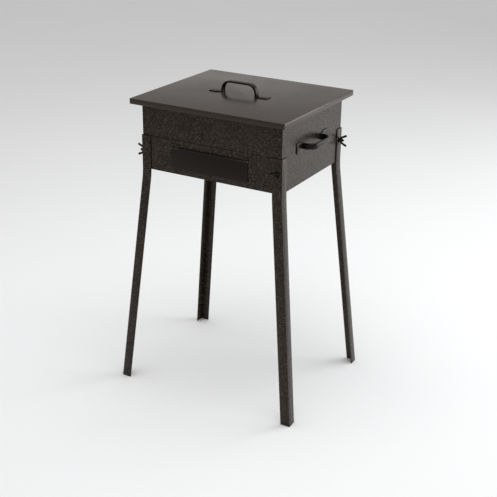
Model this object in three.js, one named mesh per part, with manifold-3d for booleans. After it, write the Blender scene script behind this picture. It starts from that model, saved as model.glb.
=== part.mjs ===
// A small gas forge: a lined sheet-steel firebox with a lift-off lid and a front mouth,
// on four splayed angle-iron legs held by wing nuts, heated by a burner through its rear wall.
// Millimetres, +Z up. The origin is on the floor, under the middle of the firebox.
// -Y is the front, with the mouth; +X is the right-hand side.

import * as THREE from 'three';
import { mergeVertices } from 'three/addons/utils/BufferGeometryUtils.js';
import Module from 'manifold-3d';

const wasm = await Module();
wasm.setup();

// ---------------------------------------------------------------- driving dimensions

const GAP = 0.3; // clearance between pieces that touch
const SHEET = 2; // steel sheet of the firebox and lid

const BOX_WIDTH = 411;
const BOX_DEPTH = 338;
const BOX_BOTTOM = 626.5;

const LID_WIDTH = 450;
const LID_DEPTH = 397;
const LID_TOP = 817.5;
const LID_SKIRT = 14;
const LID_BOARD = 18;
const LID_AIR_GAP = 3.3;

const SEAM_HEIGHT = 718; // the joint between the two front panels
const SEAM_WIDTH = 1.2;
const SEAM_STRIP = 20; // width of the strip that backs the joint

const LINING = 25; // refractory tile
const LINING_AIR_GAP = 6; // room for bolt heads behind the tiles

const FOOT_SPAN_X = 543.2;
const FOOT_SPAN_Y = 425;
const LEG_TOP = 718;
const LEG_BEND = 614;
const LEG_FLANGE = 27;
const LEG_THICKNESS = 2.5;

const DRILL = 14; // length of a drill that goes through one sheet
const BOLT_RADIUS = 3;
const BOLT_END = 4.5; // bolt standing out of its wing nut
const BOLT_HEAD = { radius: 7, height: 3 };
const NUT = { hubRadius: 6.4, hubTop: 5, hubHeight: 9, span: 29, height: 22, wing: 3 };

const HANDLE = {
  // A pressed handle: flat tabs, and a bow whose edges are turned in to make a channel.
  sheet: 2,
  tabWidth: 28,
  tabEnd: 88, // handle centre to the end of a tab
  bowWidth: 16,
  bowDepth: 5,
  height: 33,
  foot: 52, // handle centre to the middle of a leg, where it meets the tab
  shoulder: 47.5, // the same at the top of the leg
  shoulderReach: 25, // how far the shoulder's rounding reaches
};
const LID_HANDLE_AT = { x: -9, y: -7 };
const SIDE_HANDLE_AT = { y: -5, z: 724 };

const ANCHOR = { x: 110, y: 90, stud: 2.5, washer: 14, washerSheet: 1.5 };
const BOARD_CLEARANCE = 1.5; // between the lid's board and the lining's outline
const RIVET = { radius: 2.2, head: 4.2, dome: 2, tail: 3.4, tailHeight: 1.2 };
const FRONT_RIVET_AT = { x: 184, z: 788 };
const SIDE_RIVET_AT = { y: 42, z: 798 };

const MOUTH_X = -4; // middle of the mouth
const MOUTH = { width: 210, bottom: 654.5, top: 690 };
const DOOR = { width: 230, bottom: 642, top: 696, sheet: 1.5, standoff: 0.6 };
const KNUCKLE = { radius: 2.6, bore: 1.5, pin: 1.2, overhang: 1.5, ears: 29, leaf: 8 };

const BURNER_X = -30;
const BURNER_Z = 730; // height at which the burner enters the rear wall
const BURNER = { radius: 14, bore: 11, bend: 18, drop: 690, setback: 1 };
const FLANGE = { side: 60, sheet: 3, screwOffset: 22 };
const SCREW = { radius: 2, length: 8, head: 4.5, crown: 3.4, rim: 2, height: 3 };
const MIXER = {
  throat: 640, // heights up the mixing tube
  ports: 600,
  bottom: 560,
  topTaper: 12,
  lowTaper: 14,
  throatRadius: 10.5,
  throatBore: 7.5,
};
const PORT = { width: 8, height: 18, reach: 8 };
const SHUTTER = { clearance: 0.4, wall: 2.6, height: 28 };
const HOLDER = { below: 12, above: 6, bore: 3 };
const JET = { stem: 2.7, collar: 5, collarHeight: 5, tip: 2, length: 14 };
const VALVE = { radius: 11, height: 38, neck: 8, taper: 5, boss: 7, bossOut: 9, bossIn: 3 };
const SPINDLE = { radius: 3, inside: 7, outside: 6 };
const KNOB = { radius: 12, base: 9, crown: 10, low: 2, high: 15, skirt: 3, lip: 2, flutes: 8, flute: 2 };
const TAIL = { length: 22, root: 3.2, barb: 4.4, bore: 1.8, collar: 7.5, flat: 5 };
const BARB = { count: 3, pitch: 5, run: 4.6 };

// ---------------------------------------------------------------- derived sizes

const halfWidth = BOX_WIDTH / 2;
const halfDepth = BOX_DEPTH / 2;
const wallTop = LID_TOP - SHEET - GAP;
const tileX = halfWidth - SHEET - LINING_AIR_GAP;
const tileY = halfDepth - SHEET - LINING_AIR_GAP;
const floorTileTop = BOX_BOTTOM + SHEET + GAP + LINING;
const boardTop = LID_TOP - SHEET - LID_AIR_GAP;
const boardBottom = boardTop - LID_BOARD;
const tileTop = boardBottom - 2 * GAP;
const legCornerX = halfWidth + GAP + LEG_THICKNESS;
const legCornerY = halfDepth + GAP + LEG_THICKNESS;
const boltGrip = LEG_THICKNESS + GAP + SHEET;
const hingeY = -halfDepth - GAP - 0.1 - KNUCKLE.radius;
const hingeZ = DOOR.top + 1;
const mixerY = halfDepth + 7 + BURNER.bend;
const mixerTop = BURNER.drop - GAP;

// ---------------------------------------------------------------- finishes

const finish = (color, roughness, metalness) =>
  new THREE.MeshStandardMaterial({ color, roughness, metalness });

const enamel = () => finish(0x2c2825, 0.5, 0.3);
const lidEnamel = () => finish(0x38332f, 0.4, 0.3);
const smoothEnamel = () => finish(0x1f1b18, 0.45, 0.3);
const blackSteel = () => finish(0x161514, 0.45, 0.6);
const bareSteel = () => finish(0x8b8a86, 0.4, 0.9);
const refractory = () => finish(0xcfc3ad, 0.95, 0);
const brass = () => finish(0xb08d4a, 0.35, 0.9);
const redPlastic = () => finish(0xa3221c, 0.5, 0);

// ---------------------------------------------------------------- solid helpers

// One closed shell: shared vertices merged, slivers dropped, faces pointing out.
function closed(geometry) {
  const bare = geometry.clone();
  bare.deleteAttribute('normal');
  bare.deleteAttribute('uv');
  const merged = mergeVertices(bare, 1e-4);
  const corners = merged.index.array;
  const place = merged.attributes.position;
  const kept = [];
  const [a, b, c] = [new THREE.Vector3(), new THREE.Vector3(), new THREE.Vector3()];
  let volume = 0;
  for (let i = 0; i < corners.length; i += 3) {
    const [p, q, r] = [corners[i], corners[i + 1], corners[i + 2]];
    if (p === q || q === r || r === p) continue;
    kept.push(p, q, r);
    a.fromBufferAttribute(place, p);
    b.fromBufferAttribute(place, q);
    c.fromBufferAttribute(place, r);
    volume += a.dot(b.cross(c));
  }
  if (volume < 0) kept.reverse();
  merged.setIndex(kept);
  merged.computeVertexNormals();
  return merged;
}

function toSolid(geometry) {
  const shell = closed(geometry);
  return new wasm.Manifold(
    new wasm.Mesh({
      numProp: 3,
      vertProperties: new Float32Array(shell.attributes.position.array),
      triVerts: new Uint32Array(shell.index.array),
    }),
  );
}

function toGeometry(solid) {
  const mesh = solid.getMesh();
  const geometry = new THREE.BufferGeometry();
  geometry.setAttribute('position', new THREE.BufferAttribute(mesh.vertProperties, 3));
  geometry.setIndex(new THREE.BufferAttribute(mesh.triVerts, 1));
  return geometry;
}

// A geometry with others joined to it.
const join = (first, ...others) =>
  toGeometry(others.reduce((solid, other) => solid.add(toSolid(other)), toSolid(first)));

// A geometry with others cut out of it.
const cut = (body, ...tools) =>
  toGeometry(tools.reduce((solid, tool) => solid.subtract(toSolid(tool)), toSolid(body)));

// A box between two corners.
function slab([x0, y0, z0], [x1, y1, z1]) {
  const geometry = new THREE.BoxGeometry(x1 - x0, y1 - y0, z1 - z0);
  return geometry.translate((x0 + x1) / 2, (y0 + y1) / 2, (z0 + z1) / 2);
}

// A round bar centred at a point, along 'x', 'y' or 'z'.
function bar(axis, radius, length, [x, y, z], sides = 20) {
  const geometry = new THREE.CylinderGeometry(radius, radius, length, sides);
  if (axis === 'x') geometry.rotateZ(Math.PI / 2);
  if (axis === 'z') geometry.rotateX(Math.PI / 2);
  return geometry.translate(x, y, z);
}

// A turned piece about Z, from a list of [radius, height] points.
function turned(profile, sides = 20) {
  const points = profile.map(([radius, height]) => new THREE.Vector2(radius, height));
  return new THREE.LatheGeometry(points, sides).rotateX(Math.PI / 2);
}

// A turned tube about Z: the profile is closed on itself.
const turnedRing = (profile, sides) => turned([...profile, profile[0]], sides);

// ---------------------------------------------------------------- scene helpers

const forge = new THREE.Group();
const UP = new THREE.Vector3(0, 0, 1);

function add(name, geometry, material, parent = forge) {
  const mesh = new THREE.Mesh(closed(geometry), material);
  mesh.name = name;
  parent.add(mesh);
  return mesh;
}

// A group at a point whose +Z looks along a direction, for pieces built from their seat upward.
function seat([x, y, z], [dx, dy, dz], spin = 0) {
  const group = new THREE.Group();
  group.position.set(x, y, z);
  group.quaternion.setFromUnitVectors(UP, new THREE.Vector3(dx, dy, dz));
  group.rotateZ(spin);
  forge.add(group);
  return group;
}

// ---------------------------------------------------------------- fasteners

// A domed rivet. Its seat is the outer face of the stack it clamps.
function rivet(name, grip, at, direction, material) {
  const dome = [];
  const steps = 4;
  for (let i = 0; i <= steps; i += 1) {
    const angle = (i / steps) * (Math.PI / 2);
    dome.push([RIVET.head * Math.cos(angle), GAP + RIVET.dome * Math.sin(angle)]);
  }
  dome[steps][0] = 0;
  const geometry = turned(
    [
      [0, -grip - GAP - RIVET.tailHeight],
      [RIVET.tail, -grip - GAP - RIVET.tailHeight],
      [RIVET.tail, -grip - GAP],
      [RIVET.radius, -grip - GAP],
      [RIVET.radius, GAP],
      ...dome,
    ],
    12,
  );
  return add(name, geometry, material, seat(at, direction));
}

const rivetHole = (axis, at) => bar(axis, RIVET.radius + GAP, DRILL, at, 12);

// ---------------------------------------------------------------- firebox shell

const legBolts = [
  // The bolts run through alternate faces, turning round the box from leg to leg. Each wing nut
  // is left as it was tightened, turned in degrees about its bolt.
  { name: 'front_left', sx: -1, sy: -1, face: 'x', height: 672, turn: 0 },
  { name: 'front_right', sx: 1, sy: -1, face: 'y', height: 680, turn: -20 },
  { name: 'rear_right', sx: 1, sy: 1, face: 'x', height: 686, turn: 0 },
  { name: 'rear_left', sx: -1, sy: 1, face: 'y', height: 680, turn: 60 },
].map((leg) => {
  const onSide = leg.face === 'x';
  const x = leg.sx * (onSide ? legCornerX : legCornerX - LEG_FLANGE / 2);
  const y = leg.sy * (onSide ? legCornerY - LEG_FLANGE / 2 : legCornerY);
  const direction = onSide ? [leg.sx, 0, 0] : [0, leg.sy, 0];
  return { ...leg, at: [x, y, leg.height], direction };
});

const boltHole = ({ face, at }) => bar(face, BOLT_RADIUS + GAP, DRILL, at, 16);

function buildShell() {
  const endX = halfWidth - SHEET - GAP;
  const innerY = halfDepth - SHEET;
  add(
    'floor_pan',
    slab([-endX, -innerY + GAP, BOX_BOTTOM], [endX, innerY - GAP, BOX_BOTTOM + SHEET]),
    enamel(),
  );
  for (const [side, sx] of [['left', -1], ['right', 1]]) {
    const faces = [sx * (halfWidth - SHEET), sx * halfWidth].sort((a, b) => a - b);
    const rivetAt = [sx * halfWidth, SIDE_RIVET_AT.y, SIDE_RIVET_AT.z];
    const bolts = legBolts.filter((leg) => leg.face === 'x' && leg.sx === sx);
    const sheet = slab([faces[0], -halfDepth, BOX_BOTTOM], [faces[1], halfDepth, wallTop]);
    add(`${side}_panel`, cut(sheet, rivetHole('x', rivetAt), ...bolts.map(boltHole)), enamel());
    rivet(`${side}_rim_rivet`, SHEET, rivetAt, [sx, 0, 0], enamel());
  }

  const screwHoles = [-1, 1].map((s) =>
    bar('y', SCREW.radius + GAP, DRILL, [BURNER_X + s * FLANGE.screwOffset, halfDepth, BURNER_Z], 12),
  );
  add(
    'rear_panel',
    cut(
      slab([-endX, innerY, BOX_BOTTOM], [endX, halfDepth, wallTop]),
      bar('y', BURNER.radius + GAP, DRILL, [BURNER_X, halfDepth, BURNER_Z], 24),
      ...screwHoles,
      ...legBolts.filter((leg) => leg.face === 'y' && leg.sy === 1).map(boltHole),
    ),
    enamel(),
  );

  const frontRivets = [-1, 1].map((s) => [s * FRONT_RIVET_AT.x, -halfDepth, FRONT_RIVET_AT.z]);
  add(
    'front_upper_panel',
    cut(
      slab([-endX, -halfDepth, SEAM_HEIGHT + SEAM_WIDTH / 2], [endX, -innerY, wallTop]),
      ...frontRivets.map((at) => rivetHole('y', at)),
    ),
    enamel(),
  );
  rivet('front_left_rivet', SHEET, frontRivets[0], [0, -1, 0], enamel());
  rivet('front_right_rivet', SHEET, frontRivets[1], [0, -1, 0], enamel());
  add(
    'front_lower_panel',
    cut(
      slab([-endX, -halfDepth, BOX_BOTTOM], [endX, -innerY, SEAM_HEIGHT - SEAM_WIDTH / 2]),
      mouthCutter(),
      ...legBolts.filter((leg) => leg.face === 'y' && leg.sy === -1).map(boltHole),
    ),
    enamel(),
  );
  const stripEnd = endX - 2 * BOLT_HEAD.radius;
  add(
    'front_seam_strip',
    slab(
      [-stripEnd, -innerY + GAP, SEAM_HEIGHT - SEAM_STRIP / 2],
      [stripEnd, -innerY + GAP + SHEET, SEAM_HEIGHT + SEAM_STRIP / 2],
    ),
    blackSteel(),
  );
}

// The mouth is cut through the front wall and the lining behind it.
function mouthCutter() {
  const half = MOUTH.width / 2;
  return slab(
    [MOUTH_X - half, -halfDepth - SHEET, MOUTH.bottom],
    [MOUTH_X + half, -halfDepth + 2 * LINING, MOUTH.top],
  );
}

// ---------------------------------------------------------------- refractory lining

function buildLining() {
  const sideInner = tileX - LINING;
  const endInner = tileY - LINING;
  const bottom = floorTileTop + GAP;
  add(
    'floor_tile',
    slab([-tileX, -tileY, floorTileTop - LINING], [tileX, tileY, floorTileTop]),
    refractory(),
  );
  add('left_lining', slab([-tileX, -tileY, bottom], [-sideInner, tileY, tileTop]), refractory());
  add('right_lining', slab([sideInner, -tileY, bottom], [tileX, tileY, tileTop]), refractory());
  const endHalf = sideInner - GAP;
  add(
    'front_lining',
    cut(slab([-endHalf, -tileY, bottom], [endHalf, -endInner, tileTop]), mouthCutter()),
    refractory(),
  );
  add(
    'rear_lining',
    cut(
      slab([-endHalf, endInner, bottom], [endHalf, tileY, tileTop]),
      bar('y', BURNER.radius + GAP, 2 * LINING, [BURNER_X, tileY - LINING / 2, BURNER_Z], 24),
    ),
    refractory(),
  );
}

// ---------------------------------------------------------------- legs and wing nuts

// The angle-iron section, with its outer corner at the origin and flanges toward the box.
function angleSection(sx, sy) {
  const points = [
    [0, 0],
    [LEG_FLANGE, 0],
    [LEG_FLANGE, LEG_THICKNESS],
    [LEG_THICKNESS, LEG_THICKNESS],
    [LEG_THICKNESS, LEG_FLANGE],
    [0, LEG_FLANGE],
  ];
  return new THREE.Shape(points.map(([x, y]) => new THREE.Vector2(-sx * x, -sy * y)));
}

// A length of angle iron from one height up to another, leaning so that its foot moves outward.
function angleLength(section, bottom, top, leanX, leanY) {
  const height = top - bottom;
  const geometry = new THREE.ExtrudeGeometry(section, { depth: height, bevelEnabled: false });
  const lean = new THREE.Matrix4().set(
    1, 0, leanX / height, -leanX,
    0, 1, leanY / height, -leanY,
    0, 0, 1, bottom,
    0, 0, 0, 1,
  );
  return geometry.applyMatrix4(lean);
}

function wingNutGeometry() {
  const hub = turnedRing(
    [
      [BOLT_RADIUS + GAP, GAP],
      [NUT.hubRadius, GAP],
      [NUT.hubRadius, 3],
      [NUT.hubTop, NUT.hubHeight],
      [BOLT_RADIUS + GAP, NUT.hubHeight],
    ],
    16,
  );
  const wings = [0, Math.PI].map((turn) => {
    const tip = NUT.span / 2;
    const outline = new THREE.Shape();
    outline.moveTo(NUT.hubTop - 0.8, 2.5);
    outline.lineTo(NUT.hubRadius + 0.4, 3);
    outline.lineTo(tip - 0.6, NUT.height - 6);
    outline.quadraticCurveTo(tip + 0.6, NUT.height - 2, tip - 1.6, NUT.height - 0.4);
    outline.quadraticCurveTo(tip - 4.2, NUT.height + 0.6, tip - 4.8, NUT.height - 3);
    outline.lineTo(NUT.hubTop + 1, NUT.hubHeight + 0.6);
    outline.lineTo(NUT.hubTop - 0.8, NUT.hubHeight - 0.8);
    const wing = new THREE.ExtrudeGeometry(outline, {
      depth: NUT.wing,
      bevelEnabled: false,
      curveSegments: 5,
    });
    return wing.translate(0, 0, -NUT.wing / 2).rotateX(Math.PI / 2).rotateZ(turn);
  });
  return join(hub, ...wings);
}

function buildLegs() {
  const leanX = FOOT_SPAN_X / 2 - legCornerX;
  const leanY = FOOT_SPAN_Y / 2 - legCornerY;
  const nut = wingNutGeometry();
  const bolt = turned(
    [
      [0, -boltGrip - GAP - BOLT_HEAD.height],
      [BOLT_HEAD.radius - 2, -boltGrip - GAP - BOLT_HEAD.height],
      [BOLT_HEAD.radius, -boltGrip - GAP - 1],
      [BOLT_HEAD.radius, -boltGrip - GAP],
      [BOLT_RADIUS, -boltGrip - GAP],
      [BOLT_RADIUS, NUT.hubHeight + BOLT_END - 0.8],
      [BOLT_RADIUS - 0.8, NUT.hubHeight + BOLT_END],
      [0, NUT.hubHeight + BOLT_END],
    ],
    16,
  );
  for (const leg of legBolts) {
    const section = angleSection(leg.sx, leg.sy);
    const upper = angleLength(section, LEG_BEND, LEG_TOP, 0, 0);
    const lower = angleLength(section, 0, LEG_BEND, -leg.sx * leanX, -leg.sy * leanY);
    const corner = [leg.sx * legCornerX, leg.sy * legCornerY, 0];
    const iron = join(upper, lower).translate(...corner);
    add(`leg_${leg.name}`, cut(iron, boltHole(leg)), enamel());
    add(`leg_bolt_${leg.name}`, bolt, blackSteel(), seat(leg.at, leg.direction));
    const turn = THREE.MathUtils.degToRad(leg.turn);
    add(`wing_nut_${leg.name}`, nut, blackSteel(), seat(leg.at, leg.direction, turn));
  }
}

// ---------------------------------------------------------------- handles

// Points along a line whose corners are rounded.
function roundedLine(corners, radii, steps = 7) {
  const line = [corners[0]];
  for (let i = 1; i < corners.length - 1; i += 1) {
    const corner = corners[i];
    const into = corners[i - 1].clone().sub(corner).setLength(radii[i - 1]).add(corner);
    const outOf = corners[i + 1].clone().sub(corner).setLength(radii[i - 1]).add(corner);
    line.push(...new THREE.QuadraticBezierCurve(into, corner, outOf).getPoints(steps));
  }
  line.push(corners[corners.length - 1]);
  return line;
}

// A strip standing on z = 0 and running along X: its outer face follows a line, and it lies
// between two depths below that face.
function strip(line, width, shallow, deep) {
  const near = [];
  const far = [];
  for (let i = 0; i < line.length; i += 1) {
    const before = line[Math.max(i - 1, 0)];
    const after = line[Math.min(i + 1, line.length - 1)];
    const along = after.clone().sub(before).normalize();
    const inward = new THREE.Vector2(along.y, -along.x);
    near.push(line[i].clone().addScaledVector(inward, shallow));
    far.push(line[i].clone().addScaledVector(inward, deep));
  }
  const outline = new THREE.Shape([...near, ...far.reverse()]);
  const geometry = new THREE.ExtrudeGeometry(outline, { depth: width, bevelEnabled: false });
  return geometry.translate(0, 0, -width / 2).rotateX(Math.PI / 2);
}

function handleGeometry() {
  const { sheet, tabWidth, tabEnd, bowWidth, bowDepth, height, foot, shoulder, shoulderReach } = HANDLE;
  const buried = GAP + sheet / 2; // the bow's ends are inside the tabs
  const half = [[foot + bowDepth / 2, buried], [shoulder + bowDepth / 2, height]];
  const corners = [
    ...half.map(([u, w]) => new THREE.Vector2(-u, w)),
    ...half.reverse().map(([u, w]) => new THREE.Vector2(u, w)),
  ];
  const line = roundedLine(corners, [shoulderReach, shoulderReach]);
  const channel = strip(line, bowWidth - 2 * sheet, sheet, bowDepth + sheet);
  const bow = cut(strip(line, bowWidth, 0, bowDepth), channel);
  const tabs = [-1, 1].map((s) => {
    const ends = [s * (foot - bowDepth), s * tabEnd].sort((a, b) => a - b);
    return slab([ends[0], -tabWidth / 2, GAP], [ends[1], tabWidth / 2, GAP + sheet]);
  });
  return join(bow, ...tabs);
}

// The tabs of all three handles are spot-welded to the sheet under them.
function buildHandles() {
  const handle = handleGeometry();
  const lidSeat = [LID_HANDLE_AT.x, LID_HANDLE_AT.y, LID_TOP];
  add('lid_handle', handle, blackSteel(), seat(lidSeat, [0, 0, 1]));
  for (const [side, sx] of [['left', -1], ['right', 1]]) {
    const wallSeat = [sx * halfWidth, SIDE_HANDLE_AT.y, SIDE_HANDLE_AT.z];
    add(`${side}_handle`, handle, blackSteel(), seat(wallSeat, [sx, 0, 0], Math.PI / 2));
  }
}

// ---------------------------------------------------------------- lid

function buildLid() {
  const [x, y] = [LID_WIDTH / 2, LID_DEPTH / 2];
  const rim = LID_TOP - LID_SKIRT;
  const outside = slab([-x, -y, rim], [x, y, LID_TOP]);
  const inside = slab([-x + SHEET, -y + SHEET, rim - SHEET], [x - SHEET, y - SHEET, LID_TOP - SHEET]);
  add('lid', cut(outside, inside), lidEnamel());

  const [boardX, boardY] = [tileX - BOARD_CLEARANCE, tileY - BOARD_CLEARANCE];
  const spots = [[-1, -1], [1, -1], [1, 1], [-1, 1]].map(([sx, sy]) => [sx * ANCHOR.x, sy * ANCHOR.y]);
  const board = slab([-boardX, -boardY, boardBottom], [boardX, boardY, boardTop]);
  const holes = spots.map(([ax, ay]) => bar('z', ANCHOR.stud + GAP, 2 * LINING, [ax, ay, boardTop], 12));
  add('lid_board', cut(board, ...holes), refractory());

  const studTop = LID_BOARD + LID_AIR_GAP - GAP;
  const anchor = turned(
    [
      [0, -ANCHOR.washerSheet - GAP],
      [ANCHOR.washer, -ANCHOR.washerSheet - GAP],
      [ANCHOR.washer, -GAP],
      [ANCHOR.stud, -GAP],
      [ANCHOR.stud, studTop],
      [0, studTop],
    ],
    16,
  );
  spots.forEach(([ax, ay], i) => {
    add(`lid_board_anchor_${i + 1}`, anchor, bareSteel(), seat([ax, ay, boardBottom], [0, 0, 1]));
  });
}

// ---------------------------------------------------------------- mouth door

function buildMouthDoor() {
  const half = DOOR.width / 2;
  const earInner = half - KNUCKLE.ears;
  const doorBack = -halfDepth - DOOR.standoff;
  const knuckle = (x0, x1) =>
    bar('x', KNUCKLE.radius, x1 - x0, [MOUTH_X + (x0 + x1) / 2, hingeY, hingeZ], 16);
  const pinHole = bar('x', KNUCKLE.bore, DOOR.width + DRILL, [MOUTH_X, hingeY, hingeZ], 12);

  const leaf = slab(
    [MOUTH_X - half, doorBack - DOOR.sheet, DOOR.bottom],
    [MOUTH_X + half, doorBack, hingeZ - KNUCKLE.radius - GAP],
  );
  const neck = slab(
    [MOUTH_X - earInner + GAP, doorBack - DOOR.sheet, DOOR.top - KNUCKLE.leaf],
    [MOUTH_X + earInner - GAP, doorBack, hingeZ],
  );
  const barrel = knuckle(-earInner + GAP, earInner - GAP);
  add('mouth_door', cut(join(leaf, neck, barrel), pinHole), smoothEnamel());

  for (const [side, s] of [['left', -1], ['right', 1]]) {
    const span = [s * earInner, s * half].sort((a, b) => a - b);
    const plate = slab(
      [MOUTH_X + span[0], -halfDepth - GAP - DOOR.sheet, hingeZ],
      [MOUTH_X + span[1], -halfDepth - GAP, hingeZ + KNUCKLE.radius + KNUCKLE.leaf],
    );
    add(`door_bracket_${side}`, cut(join(plate, knuckle(...span)), pinHole), enamel());
  }
  const pinLength = DOOR.width + 2 * KNUCKLE.overhang;
  add('door_pin', bar('x', KNUCKLE.pin, pinLength, [MOUTH_X, hingeY, hingeZ], 12), bareSteel());
}

// ---------------------------------------------------------------- burner

// The elbow's centre line: straight in through the wall, then a quarter bend downward.
function elbowPath() {
  const bendY = mixerY - BURNER.bend;
  const bendZ = BURNER_Z - BURNER.bend;
  const inlet = tileY - LINING + BURNER.setback;
  const line = new THREE.CurvePath();
  const arc = new THREE.EllipseCurve(bendY, bendZ, BURNER.bend, BURNER.bend, Math.PI / 2, 0, true);
  const points = arc.getPoints(8).map((p) => new THREE.Vector3(BURNER_X, p.x, p.y));
  points.unshift(new THREE.Vector3(BURNER_X, inlet, BURNER_Z));
  points.push(new THREE.Vector3(BURNER_X, mixerY, BURNER.drop));
  for (let i = 1; i < points.length; i += 1) line.add(new THREE.LineCurve3(points[i - 1], points[i]));
  return line;
}

function ringSection(outer, inner) {
  const ring = new THREE.Shape().absarc(0, 0, outer, 0, 2 * Math.PI);
  ring.holes.push(new THREE.Path().absarc(0, 0, inner, 0, 2 * Math.PI));
  return ring;
}

function portCutters(radius, height) {
  const port = slab(
    [radius - PORT.reach, -PORT.width / 2, height - PORT.height / 2],
    [radius + PORT.reach, PORT.width / 2, height + PORT.height / 2],
  );
  return [0, 1, 2, 3].map((i) => port.clone().rotateZ(i * (Math.PI / 2)));
}

function buildBurner() {
  const elbow = new THREE.ExtrudeGeometry(ringSection(BURNER.radius, BURNER.bore), {
    steps: 26,
    curveSegments: 10,
    extrudePath: elbowPath(),
  });
  add('burner_elbow', elbow, blackSteel());
  buildFlange();

  const mixer = seat([BURNER_X, mixerY, 0], [0, 0, 1]);
  buildMixer(mixer);
  buildJet(mixer);
  buildValve(mixer);
}

function buildFlange() {
  const side = FLANGE.side / 2;
  const [inner, outer] = [halfDepth + GAP, halfDepth + GAP + FLANGE.sheet];
  const screwX = [-1, 1].map((s) => BURNER_X + s * FLANGE.screwOffset);
  const plate = slab([BURNER_X - side, inner, BURNER_Z - side], [BURNER_X + side, outer, BURNER_Z + side]);
  const pipeHole = bar('y', BURNER.radius + GAP, DRILL, [BURNER_X, inner, BURNER_Z], 24);
  const screwHoles = screwX.map((x) => bar('y', SCREW.radius + GAP, DRILL, [x, inner, BURNER_Z], 12));
  add('burner_flange', cut(plate, pipeHole, ...screwHoles), blackSteel());

  const screw = turned(
    [
      [0, -SCREW.length],
      [SCREW.radius, -SCREW.length],
      [SCREW.radius, GAP],
      [SCREW.head, GAP],
      [SCREW.head, SCREW.rim],
      [SCREW.crown, SCREW.height],
      [0, SCREW.height],
    ],
    16,
  );
  ['left', 'right'].forEach((end, i) => {
    add(`flange_screw_${end}`, screw, bareSteel(), seat([screwX[i], outer, BURNER_Z], [0, 1, 0]));
  });
}

// The mixing tube with its four air ports, and the collar that turns over them.
function buildMixer(mixer) {
  const portZ = (MIXER.ports + MIXER.bottom) / 2;
  const throatLow = MIXER.ports + MIXER.lowTaper;
  const throatHigh = mixerTop - MIXER.topTaper;
  const tube = turnedRing(
    [
      [BURNER.bore, MIXER.bottom],
      [BURNER.radius, MIXER.bottom],
      [BURNER.radius, MIXER.ports],
      [MIXER.throatRadius, throatLow],
      [MIXER.throatRadius, MIXER.throat],
      [BURNER.radius, throatHigh],
      [BURNER.radius, mixerTop],
      [BURNER.bore, mixerTop],
      [BURNER.bore, throatHigh],
      [MIXER.throatBore, MIXER.throat],
      [MIXER.throatBore, throatLow],
      [BURNER.bore, MIXER.ports],
    ],
    24,
  );
  add('mixing_tube', cut(tube, ...portCutters(BURNER.radius, portZ)), blackSteel(), mixer);

  const inner = BURNER.radius + SHUTTER.clearance;
  const outer = inner + SHUTTER.wall;
  const [low, high] = [portZ - SHUTTER.height / 2, portZ + SHUTTER.height / 2];
  const collar = turnedRing([[inner, low], [outer, low], [outer, high], [inner, high]], 32);
  add('air_shutter', cut(collar, ...portCutters(inner, portZ)), brass(), mixer);
}

// The plug in the foot of the mixing tube, and the jet that stands in it.
function buildJet(mixer) {
  const [low, high] = [MIXER.bottom - HOLDER.below, MIXER.bottom + HOLDER.above];
  const holder = turnedRing(
    [
      [HOLDER.bore, low],
      [BURNER.radius, low],
      [BURNER.radius, MIXER.bottom - GAP],
      [BURNER.bore - GAP, MIXER.bottom - GAP],
      [BURNER.bore - GAP, high],
      [HOLDER.bore, high],
    ],
    24,
  );
  add('jet_holder', holder, brass(), mixer);
  const jet = turned(
    [
      [0, low + GAP],
      [JET.stem, low + GAP],
      [JET.stem, high + GAP],
      [JET.collar, high + GAP],
      [JET.collar, high + JET.collarHeight],
      [JET.tip, high + JET.length],
      [0, high + JET.length],
    ],
    12,
  );
  add('gas_jet', jet, brass(), mixer);
}

function buildValve(mixer) {
  const top = MIXER.bottom - HOLDER.below - GAP;
  const bottom = top - VALVE.height;
  const middle = (top + bottom) / 2;
  const barrel = turned([
    [0, bottom],
    [VALVE.neck, bottom],
    [VALVE.radius, bottom + VALVE.taper],
    [VALVE.radius, top - VALVE.taper],
    [VALVE.neck, top],
    [0, top],
  ]);
  const bossLength = VALVE.bossOut + VALVE.bossIn;
  const bossMiddle = -VALVE.radius - (VALVE.bossOut - VALVE.bossIn) / 2;
  const boss = bar('x', VALVE.boss, bossLength, [bossMiddle, 0, middle], 16);
  const boreMiddle = -VALVE.radius - SPINDLE.inside;
  const bore = bar('x', SPINDLE.radius + GAP, 2 * VALVE.bossOut, [boreMiddle, 0, middle], 16);
  add('valve_body', cut(join(barrel, boss), bore), brass(), mixer);

  const control = seat([BURNER_X - VALVE.radius - VALVE.bossOut, mixerY, middle], [-1, 0, 0]);
  const spindleLength = SPINDLE.inside + SPINDLE.outside;
  const spindleMiddle = (SPINDLE.outside - SPINDLE.inside) / 2;
  const spindle = bar('z', SPINDLE.radius, spindleLength, [0, 0, spindleMiddle]);
  add('valve_spindle', spindle, bareSteel(), control);
  add('valve_knob', knobGeometry(), redPlastic(), control);
  add('hose_tail', tailGeometry(bottom - GAP), brass(), mixer);
}

// A barbed tail that hangs from a height, with a collar at its top.
function tailGeometry(top) {
  const end = top - TAIL.length;
  const barbs = [];
  for (let i = 0; i < BARB.count; i += 1) {
    barbs.push([TAIL.root, end + BARB.pitch * i], [TAIL.barb, end + BARB.pitch * i + BARB.run]);
  }
  const profile = [
    [TAIL.bore, end],
    ...barbs,
    [TAIL.root, end + BARB.pitch * BARB.count],
    [TAIL.root, top - TAIL.flat],
    [TAIL.collar, top - TAIL.flat],
    [TAIL.collar, top],
    [TAIL.bore, top],
  ];
  return turnedRing(profile, 16);
}

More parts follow.
